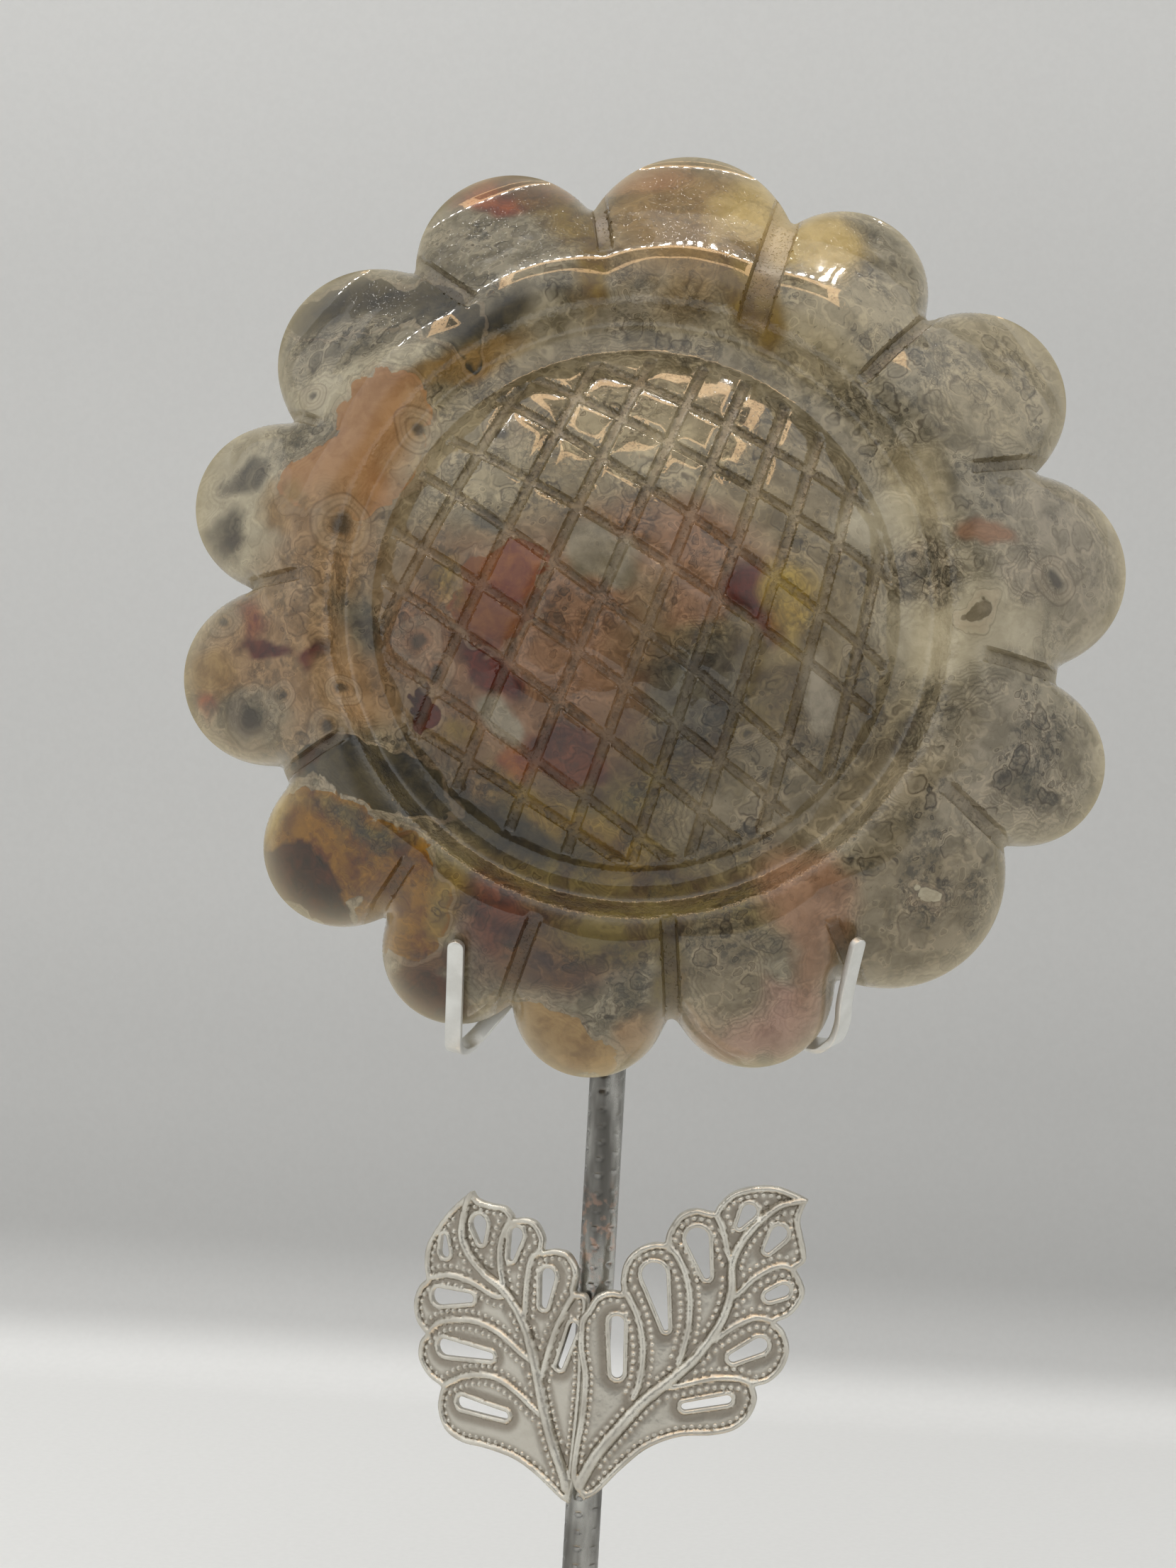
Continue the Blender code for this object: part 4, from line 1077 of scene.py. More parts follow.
# The stone's patches from the large to the small: what each is, its colour, middle, reach, turn, softness of
# its edge, and how calm it is, from 0 for full lace to 1 for none
STONE_PATCHES = (
    ("the dome", "smoke", (-2.5, -1.1), (31.0, 31.0), 0, 0.3, 0.25),
    # Painted shade: the lower half of the dome darkened, as less light falls on it
    ("painted shade on the lower dome", "painted lower shade", (1.0, -19.0), (26.0, 13.0), 0, 0.6, 0.2),
    ("rosy quarter", "rose", (-17.0, -9.0), (15.0, 13.0), -20, 0.6, 0.3),
    ("lower valley", "olive", (-3.0, -35.0), (26.0, 7.0), 0, 0.5, 0.3),
    ("petal at 90", "tan", (0.8, 48.4), (11.5, 10.3), 3, 0.5, 0.6),
    ("its left rim", "peach", (-4.2, 54.5), (6.6, 2.6), 13, 0.5, 0.7),
    ("its right side", "yellow", (9.9, 51.0), (3.0, 6.0), -27, 0.6, 0.7),
    ("petal at 65", "pale grey", (21.3, 35.3), (9.3, 7.5), 3, 0.6, 0.2),
    ("its outer part", "yellow", (17.3, 47.1), (6.6, 6.8), -7, 0.4, 0.9),
    ("petal at 40", "pale grey", (39.0, 32.4), (7.4, 10.4), -27, 0.6, 0.4),
    ("groove at 75", "ochre", (9.6, 37.3), (3.0, 5.2), 23, 0.35, 0.9),
    ("groove at 100", "ochre", (-9.5, 43.4), (2.0, 8.3), 3, 0.4, 0.8),
    ("shade inside at 100", "grey", (-6.5, 34.2), (4.6, 1.9), 33, 0.6, 0.2),
    ("petal at 115", "ground", (-22.5, 43.0), (8.9, 6.7), 13, 0.4, 0.0),
    ("its red cap", "rust", (-21.3, 50.5), (8.8, 2.9), -1, 0.3, 0.8),
    ("spot in the cap", "red brown", (-21.3, 51.9), (2.5, 1.6), -7, 0.8, 0.8),
    ("its right side", "ochre", (-13.6, 47.3), (2.7, 5.9), 33, 0.6, 0.6),
    ("petal at 140", "slate", (-37.6, 36.6), (9.5, 3.6), 1, 0.12, 1.0),
    ("its tail", "slate", (-27.6, 33.8), (2.9, 6.2), 33, 0.15, 1.0),
    ("shade under 115", "slate", (-20.6, 32.8), (4.9, 2.5), 23, 0.5, 0.8),
    ("lace under the cap", "ground", (-39.2, 29.7), (9.9, 4.3), 8, 0.4, 0.0),
    ("pink band under it", "milk", (-37.9, 24.4), (9.7, 3.1), 25, 0.35, 0.6),
    ("peach arm", "tan", (-25.6, 26.7), (10.0, 1.8), 21, 0.4, 0.7),
    ("petal at 165", "milk", (-51.0, 10.0), (6.0, 9.5), 8, 0.5, 0.7),
    ("peach pocket", "peach", (-34.4, 17.6), (5.4, 7.8), 13, 0.1, 1.0),
    ("pocket's left arm", "peach", (-39.0, 12.9), (8.2, 4.6), 8, 0.12, 1.0),
    ("pocket's foot", "tan", (-44.6, 8.4), (3.5, 3.0), 3, 0.3, 0.8),
    ("round the eye", "pale peach", (-40.0, 4.5), (7.0, 6.0), 3, 0.6, 0.5),
    ("upper left dark spot", "blue grey", (-50.1, 13.5), (2.8, 2.2), 3, 0.4, 0.2),
    ("lower left dark spot", "blue grey", (-52.6, 5.7), (2.1, 3.8), -22, 0.3, 0.4),
    ("petal at 192", "pale peach", (-46.6, -9.6), (11.1, 10.4), 3, 0.6, 0.4),
    ("dark lumps beside it", "blue grey", (-34.6, -5.0), (2.5, 4.5), 13, 0.5, 0.0),
    ("its upper crack", "red brown", (-46.9, -7.7), (3.4, 0.9), -12, 0.35, 0.9),
    ("its side crack", "red brown", (-40.1, -8.9), (1.2, 2.0), -17, 0.35, 0.9),
    ("its orange spot", "orange", (-48.6, -3.7), (1.6, 3.3), 23, 0.6, 0.6),
    ("its cream spot", "cream", (-53.6, -10.5), (3.6, 2.5), 3, 0.6, 0.8),
    ("its rust spots", "rust", (-53.5, -14.5), (1.2, 2.0), 23, 0.5, 0.8),
    ("around its eye", "taupe", (-48.1, -16.4), (4.8, 3.3), 3, 0.3, 0.2),
    ("its eye", "blue grey", (-48.1, -16.4), (2.3, 2.2), 23, 0.4, 0.3),
    ("orange below it", "pale peach", (-34.6, -13.0), (4.4, 3.9), 3, 0.6, 0.5),
    ("slate wedge", "slate", (-32.3, -22.7), (10.5, 3.3), -13, 0.15, 0.8),
    ("slate valley", "slate", (-17.9, -28.2), (15.5, 2.5), -19, 0.4, 0.6),
    ("groove at 206", "brown", (-39.7, -20.6), (4.0, 1.0), 25, 0.4, 0.9),
    ("petal at 220", "mustard", (-35.8, -31.6), (11.4, 5.2), -17, 0.18, 0.5),
    ("lace in it", "olive", (-34.2, -28.4), (7.0, 1.3), -19, 0.6, 0.0),
    ("its cream edge", "yellow", (-44.4, -26.6), (1.4, 3.0), -17, 0.6, 0.8),
    ("its brown foot", "brown", (-39.7, -36.0), (8.0, 3.2), -35, 0.15, 0.6),
    ("petal at 243", "mustard", (-27.1, -38.3), (5.0, 5.9), 3, 0.2, 0.5),
    ("bands in it", "ochre", (-22.6, -37.4), (2.4, 4.2), -17, 0.4, 0.2),
    ("its mauve band", "mauve", (-25.3, -44.5), (5.5, 1.5), 13, 0.4, 0.6),
    ("its foot", "brown", (-23.9, -48.0), (5.9, 2.8), -22, 0.3, 0.5),
    ("maroon patch", "maroon", (-16.8, -39.3), (4.8, 5.7), 3, 0.5, 0.4),
    ("maroon streak", "mauve", (-10.1, -39.7), (5.7, 2.4), 13, 0.5, 0.4),
    ("dusky lace at 263", "mauve", (-10.1, -44.6), (7.7, 3.2), 13, 0.6, 0.1),
    ("petal at 263", "cream", (-8.8, -52.8), (7.2, 3.3), -17, 0.15, 0.9),
    ("its right side", "pale peach", (-0.1, -51.2), (3.4, 2.8), 23, 0.5, 0.7),
    ("above it", "olive", (-2.5, -41.1), (6.2, 2.7), 13, 0.6, 0.3),
    ("groove at 275", "olive", (4.2, -44.0), (1.6, 7.3), 3, 0.4, 0.8),
    ("yellow in the valley", "ochre", (-1.5, -29.6), (4.3, 3.1), 3, 0.6, 0.2),
    ("olive in the valley", "olive", (3.3, -25.6), (8.1, 5.4), 3, 0.7, 0.1),
    ("petal at 289", "pink", (14.5, -49.9), (10.2, 4.2), 13, 0.3, 0.7),
    ("grey lace in it", "taupe", (10.5, -43.1), (5.6, 5.4), 3, 0.5, 0.1),
    ("salmon crest", "salmon", (20.9, -33.5), (7.1, 4.8), -47, 0.4, 0.7),
    ("salmon groove", "salmon", (21.1, -40.8), (3.0, 6.4), -12, 0.5, 0.7),
    ("petal at 315", "taupe", (34.7, -33.5), (8.6, 9.4), -17, 0.5, 0.1),
    ("its pale star", "milk", (34.2, -32.9), (1.6, 1.5), 23, 0.2, 0.9),
    ("petal at 341", "grey", (40.9, -16.6), (9.7, 8.8), -17, 0.5, 0.0),
    ("its dark specks", "blue grey", (44.6, -19.1), (3.6, 2.2), -17, 0.8, 0.0),
    ("pink inside it", "taupe", (30.1, -21.3), (4.8, 3.4), -17, 0.7, 0.1),
    ("dark lumps inside it", "blue grey", (30.8, -15.0), (2.5, 2.1), 33, 0.5, 0.0),
    ("petal at 10", "grey", (47.8, 7.0), (7.7, 10.4), 0, 0.5, 0.5),
    ("its clear part", "milk", (37.0, -1.0), (10.0, 5.2), 12, 0.5, 0.95),
    ("its diamond", "taupe", (38.0, 0.3), (1.6, 1.5), 23, 0.15, 1.0),
    ("lumps beside it", "grey", (31.1, 5.7), (4.4, 3.4), -27, 0.4, 0.0),
    ("its rose spot", "rose", (38.1, 10.4), (3.0, 1.7), -2, 0.3, 0.8),
    ("its grey patch", "grey", (44.6, 5.5), (4.9, 4.0), 3, 0.25, 0.1),
    ("calm valley at 30", "pale grey", (30.4, 17.1), (4.2, 4.5), 43, 0.4, 0.8),
    ("calm valley at 20", "milk", (26.6, 10.8), (3.4, 4.6), -10, 0.6, 0.8),
    ("top of the dome", "pale grey", (-2.5, 17.8), (11.0, 7.2), -7, 0.6, 0.3),
    ("its left side", "pale grey", (-22.9, 15.5), (7.2, 8.8), 33, 0.5, 0.2),
    ("pink cells", "salmon", (3.2, 5.3), (8.5, 5.0), -7, 0.8, 0.2),
    ("grey cell", "taupe", (-8.2, 3.4), (3.6, 3.8), 3, 0.3, 0.7),
    ("peach blotch", "blotch", (-17.7, -3.3), (5.2, 4.9), 23, 0.15, 1.0),
    ("its upper part", "orange", (-16.7, 0.5), (3.4, 2.4), 3, 0.2, 1.0),
    ("peach beside it", "rose", (-9.1, -2.8), (4.8, 3.3), -17, 0.4, 0.3),
    ("dark cell", "blue grey", (-20.2, 7.2), (3.1, 1.4), -22, 0.3, 0.4),
    ("yellow cell", "ochre", (-25.5, -1.0), (2.5, 3.0), 3, 0.5, 0.4),
    ("rose edge", "rose", (-28.5, -6.3), (4.5, 5.3), 3, 0.5, 0.2),
    ("red bands", "red brown", (-19.1, -10.9), (4.9, 2.3), -37, 0.3, 0.2),
    ("red diamond", "red brown", (-26.1, -14.9), (1.7, 1.8), 48, 0.15, 1.0),
    ("pale wedge", "grey", (-17.7, -15.7), (3.8, 2.0), -42, 0.25, 0.4),
    ("ochre cell", "ochre", (-22.6, -17.2), (2.5, 1.8), -17, 0.6, 0.5),
    ("rose cell", "rose", (-12.4, -8.9), (3.8, 2.8), 3, 0.3, 0.5),
    ("maroon cells", "maroon", (-10.1, -20.8), (5.2, 2.7), -17, 0.25, 0.4),
    ("orange cell", "orange", (-15.8, -20.9), (2.4, 2.0), -17, 0.4, 0.7),
    ("ochre edge", "ochre", (-10.1, -27.2), (9.5, 1.8), -27, 0.5, 0.1),
    ("rose cells", "rose", (5.1, -1.8), (5.7, 2.9), 13, 0.5, 0.3),
    ("red side", "red brown", (11.3, 0.2), (2.9, 4.8), 18, 0.25, 0.7),
    ("yellow side", "honey", (16.1, 1.1), (2.9, 4.9), 3, 0.5, 0.6),
    ("dark lumps", "blue grey", (5.1, -11.2), (5.7, 6.0), 13, 0.4, 0.0),
    ("calm cells", "grey", (19.5, -11.7), (2.5, 5.1), 3, 0.3, 0.9),
    ("belly", "taupe", (14.8, -23.3), (11.3, 5.9), 18, 0.6, 0.0),
)
# Round eyes of fine rings: middle and reach of the outer ring
STONE_EYES = (
    ((-38.2, 6.6), 3.6),
    ((-29.9, 19.6), 2.8),
    ((-43.2, 23.7), 1.9),
    ((-52.3, -4.4), 2.3),
    ((-27.8, -7.0), 3.2),
    ((-36.9, -12.7), 1.9),
    ((-43.8, -13.7), 1.9),
    ((-47.9, -15.9), 3.8),
    ((-38.1, -17.4), 2.5),
    ((-25.6, -10.8), 2.5),
    ((30.3, 7.6), 1.3),
    ((11.3, -16.2), 1.3),
    ((16.2, -16.5), 0.8),
    ((-19.8, 18.5), 2.5),
    ((47.5, 5.6), 2.8),
    ((23.1, -5.8), 1.3),
)
# What lies over the patches: its colour as it looks in soft light, and how strong it is. The thin rim's pale
# glow is painted light, standing in for light shining through the thin stone, and the cut's colour is
# painted shade in the cuts and grooves
STONE_DETAILS = {
    "moss": ((68, 65, 56), 1.0),
    "border band": ((150, 132, 112), 0.2),
    "pale of an eye": ((150, 138, 120), 0.24),
    "core of an eye": ((76, 73, 66), 0.8),
    "specks": ((70, 64, 54), 1.0),
    # Painted light: a pale glow on the thin rim, standing in for light shining through the stone
    "painted rim glow": ((174, 164, 140), 0.62),
    # Painted shade: darkens the cuts and grooves
    "cut": ((112, 98, 78), 0.16),
}
# How strong the dark lines are, and the pale stone beside them
LINE_PARTS = {"lace": 0.95, "border": 0.35, "shells": 0.55, "eyes": 0.6}
PALE_PART = 0.5
# How strongly the valley is painted lighter to lift its shade
VALLEY_LIGHT_PART = 0.9
# What the stone's colour is multiplied by: in pale bands, in dark lines, and in the valley, where it is
# painted lighter to lift the shade that falls there
PALER = (1.5, 1.48, 1.44, 1.0)
LINE_TINT = (0.34, 0.29, 0.24, 1.0)
VALLEY_LIGHT_TINT = (1.5, 1.49, 1.46, 1.0)
# Lines round the lumps of the lace and round an eye: where each lies, how dark it is and how broad
LUMP_RINGS = ((0.2, 0.4, 0.05), (0.34, 1.0, 0.055), (0.5, 0.3, 0.04))
EYE_RINGS = ((0.55, 0.7, 0.09), (0.78, 0.4, 0.08), (1.0, 0.8, 0.09))
LACE_BAND_COUNT = 24.0
SHELL_PITCH = 0.62
BORDER_WIDTH = 0.9
LUMP_EDGE = 0.45
LUMPS_IN_BORDER = 1.7

# How slow and fast waves bend the patches and the eyes: size of the waves and how far they push
PATCH_WAVES = ((0.13, 2.4), (0.5, 1.0))
EYE_WAVES = ((0.35, 0.7),)
CRISP_EDGE = 0.2
FAR_AWAY = 9.0
GROUND_CALM = 0.15
# How the scene's light shows a colour: what it gives back of it, and what glare adds
SCENE_GAIN = 0.67
ROOM_GLARE = 0.042
DARKEST_PART = 0.32


def linear(colour):
    """A colour of 0 to 255 as a screen shows it, as the light it stands for."""
    values = np.array(colour, float) / 255
    values = np.where(values <= 0.04045, values / 12.92, ((values + 0.055) / 1.055) ** 2.4)
    return (*map(float, values), 1.0)


def stone_colour(colour):
    """The stone's own colour that looks like this one under the scene's light."""
    own = (max(value - ROOM_GLARE, value * DARKEST_PART) / SCENE_GAIN for value in linear(colour)[:3])
    return (*own, 1.0)


def winding(flat, waves):
    """How far aside slow and fast waves push each point, so that what is drawn on the points winds."""
    pushed = np.zeros((len(flat), 2))
    for size, reach in waves:
        pushed += reach * np.array([noise.noise_vector((x * size, y * size, 0.0))[:2] for x, y in flat])
    return pushed


def stone_layers(flat):
    """The soft patches' colours and calm at each point, and those of the crisp patch nearest to it.

    Then how far outside the nearest crisp patch the point is and how far from the nearest patch's edge, in
    millimetres.
    """
    points = flat + winding(flat, PATCH_WAVES)
    light, dark = (np.tile(stone_colour(shade)[:3], (len(flat), 1)) for shade in STONE_COLOURS["ground"])
    soft = [light, dark, np.full((len(flat), 1), GROUND_CALM)]
    crisp = [layer.copy() for layer in soft]
    outside = np.full(len(flat), FAR_AWAY)
    shell = np.full(len(flat), FAR_AWAY)
    for _, colour, middle, reach, turn, edge, calm in STONE_PATCHES:
        lean = math.radians(turn)
        offset = points - middle - winding(np.array([middle]), PATCH_WAVES)
        along = (offset @ (math.cos(lean), math.sin(lean))) / reach[0]
        across = (offset @ (-math.sin(lean), math.cos(lean))) / reach[1]
        away = np.hypot(along, across)
        past = (away - 1.0) * math.sqrt(reach[0] * reach[1])
        shell = np.where(past < 0.0, -past, np.minimum(shell, past))
        shades = [np.array(stone_colour(shade)[:3]) for shade in STONE_COLOURS[colour]] + [np.array((calm,))]
        if edge <= CRISP_EDGE:
            nearer = past < np.maximum(outside, 0.0)
            for layer, shade in zip(crisp, shades):
                layer[nearer] = shade
            outside = np.minimum(outside, past)
            continue
        part = 1.0 - smooth_step(away, 1.0 - edge, 1.0 + edge)[:, None]
        for layers, share in ((soft, part), (crisp, part * (outside < 0.0)[:, None])):
            for layer, shade in zip(layers, shades):
                layer += share * (shade - layer)
    return soft, crisp, outside, shell


def eye_reach(flat):
    """Distance from the nearest eye's middle, 1 at its outer ring."""
    points = flat + winding(flat, EYE_WAVES)
    away = []
    for middle, reach in STONE_EYES:
        offset = points - middle - winding(np.array([middle]), EYE_WAVES)
        away.append(np.hypot(*offset.T) / reach)
    return np.minimum(np.min(away, axis=0), 3.0)


class Nodes:
    """Adds nodes to one node tree and joins them."""

    def __init__(self, tree):
        self.tree = tree

    def feed(self, value, socket):
        if isinstance(value, bpy.types.NodeSocket):
            self.tree.links.new(value, socket)
        else:
            socket.default_value = value

    def add(self, kind, inputs=(), output=0, **settings):
        node = self.tree.nodes.new(kind)
        for setting, value in settings.items():
            setattr(node, setting, value)
        for name, value in dict(inputs).items():
            self.feed(value, node.inputs[name])
        return node.outputs[output] if node.outputs else node

    def math(self, operation, *values):
        return self.add("ShaderNodeMath", enumerate(values), operation=operation)

    def product(self, value, *more):
        for other in more:
            value = self.math("MULTIPLY", value, other)
        return value

    def away(self, value, level):
        """How far a value is from a level."""
        return self.math("ABSOLUTE", self.math("SUBTRACT", value, level))

    def vector(self, operation, value, other, socket=1):
        return self.add("ShaderNodeVectorMath", {0: value, socket: other}, operation=operation)

    def place_in_mm(self):
        place = self.add("ShaderNodeTexCoord", output="Object")
        return self.vector("SCALE", place, 1 / MM, "Scale")

    def rings(self, distance, rings):
        """Soft lines where a distance is near the level of one of the rings."""
        lines = 0.0
        for level, strength, breadth in rings:
            line = self.between(self.away(distance, level), 0.0, breadth, strength, 0.0)
            lines = self.math("MAXIMUM", line, lines)
        return lines

    def bump(self, height, distance):
        inputs = {"Height": height, "Distance": distance, "Strength": 1.0}
        return self.add("ShaderNodeBump", inputs, "Normal")

    def between(self, value, low, high, start=0.0, end=1.0, shape="SMOOTHSTEP"):
        """Start below low, end above high, and a change between."""
        sizes = {"Value": value, "From Min": low, "From Max": high, "To Min": start, "To Max": end}
        return self.add("ShaderNodeMapRange", sizes, interpolation_type=shape, clamp=True)

    def blend(self, part, first, second, how="MIX"):
        """A colour between two."""
        return self.add("ShaderNodeMix", {0: part, 6: first, 7: second}, 2, data_type="RGBA", blend_type=how)

    def tinted(self, colour, tint):
        return self.blend(1.0, colour, tint, "MULTIPLY")

    def noise(self, point, scale, detail=2.0, output="Fac", **more):
        settings = {"Vector": point, "Scale": scale, "Detail": detail}
        settings.update((name.capitalize(), value) for name, value in more.items())
        return self.add("ShaderNodeTexNoise", settings, output)

    def mix(self, part, first, second):
        """A number between two."""
        return self.add("ShaderNodeMix", {0: part, 2: first, 3: second}, 0, data_type="FLOAT")

    def attribute(self, name, output="Fac"):
        return self.add("ShaderNodeAttribute", output=output, attribute_name=name)

    def group(self, made, inputs):
        node = self.tree.nodes.new("ShaderNodeGroup")
        node.node_tree = made
        for name, value in inputs.items():
            self.feed(value, node.inputs[name])
        return node.outputs


def new_group(name, inputs, outputs):
    """A node group with named inputs and outputs: its nodes, its inputs' sockets and the sockets to feed."""
    tree = bpy.data.node_groups.new(name, "ShaderNodeTree")
    for labels, way in ((inputs, "INPUT"), (outputs, "OUTPUT")):
        for label in labels:
            kind = "NodeSocketVector" if "Point" in label else "NodeSocketFloat"
            tree.interface.new_socket(name=label, in_out=way, socket_type=kind)
    start = tree.nodes.new("NodeGroupInput")
    end = tree.nodes.new("NodeGroupOutput")
    return Nodes(tree), start.outputs, end.inputs


def wavy_point_group():
    """Pushes each point aside by slow and fast waves, so that what is drawn on it winds as agate does."""
    nodes, given, out = new_group("wavy point", ("Point", "Slow", "Fast"), ("Point",))
    point = given["Point"]
    for size, reach in ((0.13, "Slow"), (0.55, "Fast")):
        wave = nodes.noise(given["Point"], size, 1.0, "Color")
        wave = nodes.vector("SUBTRACT", wave, (0.5, 0.5, 0.5))
        wave = nodes.vector("SCALE", wave, given[reach], "Scale")
        point = nodes.vector("ADD", point, wave)
    nodes.feed(point, out["Point"])
    return nodes.tree


def lace_lumps_group():
    """Distance from the middles of two sizes of round lumps, 0 in their middles."""
    nodes, given, out = new_group("lace lumps", ("Point", "Large", "Small"), ("Distance",))
    large, small = (
        nodes.add(
            "ShaderNodeTexVoronoi",
            {"Vector": given["Point"], "Scale": given[size], "Randomness": randomness},
            "Distance",
        )
        for size, randomness in (("Large", 0.9), ("Small", 1.0))
    )
    small = nodes.math("ADD", small, 0.1)
    nodes.feed(nodes.math("SMOOTH_MIN", large, small, 0.06), out["Distance"])
    return nodes.tree


def lace_lines_group():
    """Thin lines round the lumps and along winding bands, and the pale halos beside them."""
    nodes, given, out = new_group("lace lines", ("Point", "Distance"), ("Line", "Halo"))
    lines = nodes.rings(given["Distance"], LUMP_RINGS)
    winding = nodes.noise(given["Point"], 0.17, 2.0, roughness=0.4)
    away = nodes.away(nodes.math("FRACT", nodes.math("MULTIPLY", winding, LACE_BAND_COUNT)), 0.5)
    near = nodes.between(nodes.noise(given["Point"], 0.1, 1.0), 0.48, 0.56)
    winding = nodes.math("MULTIPLY", nodes.between(away, 0.0, 0.16, 0.8, 0.0), near)
    nodes.feed(nodes.math("MAXIMUM", winding, lines), out["Line"])
    nodes.feed(nodes.between(nodes.away(given["Distance"], 0.43), 0.02, 0.09, 1.0, 0.0), out["Halo"])
    return nodes.tree


def shell_bands_group():
    """Fine bands that follow the edges of the coloured patches, on both sides, and fade away from them."""
    nodes, given, out = new_group("shell bands", ("Point", "Distance"), ("Line", "Pale"))
    wiggle = nodes.math("SUBTRACT", nodes.noise(given["Point"], 0.9, 3.0), 0.5)
    distance = nodes.math("MULTIPLY_ADD", wiggle, 1.1, given["Distance"])
    away = nodes.away(nodes.math("FRACT", nodes.math("DIVIDE", distance, SHELL_PITCH)), 0.5)
    fade = nodes.between(given["Distance"], 0.6, 3.4, 1.0, 0.0)
    where = nodes.between(nodes.noise(given["Point"], 0.12, 1.0), 0.42, 0.56, 0.1, 1.0)
    fade = nodes.math("MULTIPLY", fade, where)
    nodes.feed(nodes.math("MULTIPLY", nodes.between(away, 0.0, 0.2, 1.0, 0.0), fade), out["Line"])
    nodes.feed(nodes.math("MULTIPLY", nodes.between(away, 0.25, 0.5), fade), out["Pale"])
    return nodes.tree


def eye_rings_group():
    """The dark core of an eye, the fine dark rings round it and the pale stone between them."""
    nodes, given, out = new_group("eye rings", ("Reach",), ("Core", "Ring", "Pale"))
    nodes.feed(nodes.between(given["Reach"], 0.16, 0.42, 1.0, 0.0), out["Core"])
    nodes.feed(nodes.rings(given["Reach"], EYE_RINGS), out["Ring"])
    nodes.feed(nodes.between(nodes.away(given["Reach"], 0.72), 0.1, 0.38, 1.0, 0.0), out["Pale"])
    return nodes.tree


def moss_group():
    """Clusters of fine dark growth inside the stone."""
    nodes, given, out = new_group("moss", ("Point", "Wavy Point"), ("Moss",))
    clusters = nodes.between(nodes.noise(given["Wavy Point"], 0.14, 2.0), 0.46, 0.6)
    grains = nodes.between(nodes.noise(given["Point"], 0.9, 4.0, roughness=0.7), 0.44, 0.6, 0.0, 0.7)
    nodes.feed(nodes.math("MULTIPLY", clusters, grains), out["Moss"])
    return nodes.tree


def border_band_group():
    """A pale band with a thin dark line along its outside, where a crisp patch ends."""
    nodes, given, out = new_group("border band", ("Distance", "Width"), ("Band", "Line"))
    past = nodes.math("DIVIDE", given["Distance"], given["Width"])
    for label, middle, low, high in (("Band", 0.5, 0.5, 0.8), ("Line", 1.1, 0.82, 0.98)):
        near = nodes.math("SUBTRACT", 1.0, nodes.away(past, middle))
        nodes.feed(nodes.between(near, low, high), out[label])
    return nodes.tree


def new_material(name):
    made = bpy.data.materials.new(name)
    made.use_nodes = True
    made.node_tree.nodes.clear()
    return made, Nodes(made.node_tree)


def finish_material(nodes, inputs):
    """Adds the shader, with these values and links, and the material's output."""
    shader = nodes.add("ShaderNodeBsdfPrincipled", inputs, "BSDF")
    nodes.add("ShaderNodeOutputMaterial", {"Surface": shader})


def patch_colour(nodes, wavy, lumps, outside):
    """The cloudy light and dark of the stone's patches, and how much lace each place has."""
    inside_crisp = nodes.between(outside, -0.12, 0.12, 1.0, 0.0)
    light, dark = (
        nodes.blend(inside_crisp, *(nodes.attribute(kind + shade, "Color") for kind in ("soft ", "crisp ")))
        for shade in ("light", "dark")
    )
    calm = nodes.mix(inside_crisp, nodes.attribute("soft calm"), nodes.attribute("crisp calm"))
    lively = nodes.math("SUBTRACT", 1.0, calm)
    shade = nodes.between(nodes.noise(wavy, 0.26, 5.0, roughness=0.58), 0.3, 0.66)
    cores = nodes.between(lumps, 0.1, LUMP_EDGE, 0.5, 1.0)
    shade = nodes.math("MULTIPLY", shade, nodes.mix(calm, cores, 1.0))
    return nodes.blend(shade, dark, light), lively


def overlay(nodes, mask, detail, colour):
    """Lays one of the stone's details over its colour, where the mask is."""
    shade, strength = STONE_DETAILS[detail]
    return nodes.blend(nodes.math("MULTIPLY", mask, strength), colour, stone_colour(shade))


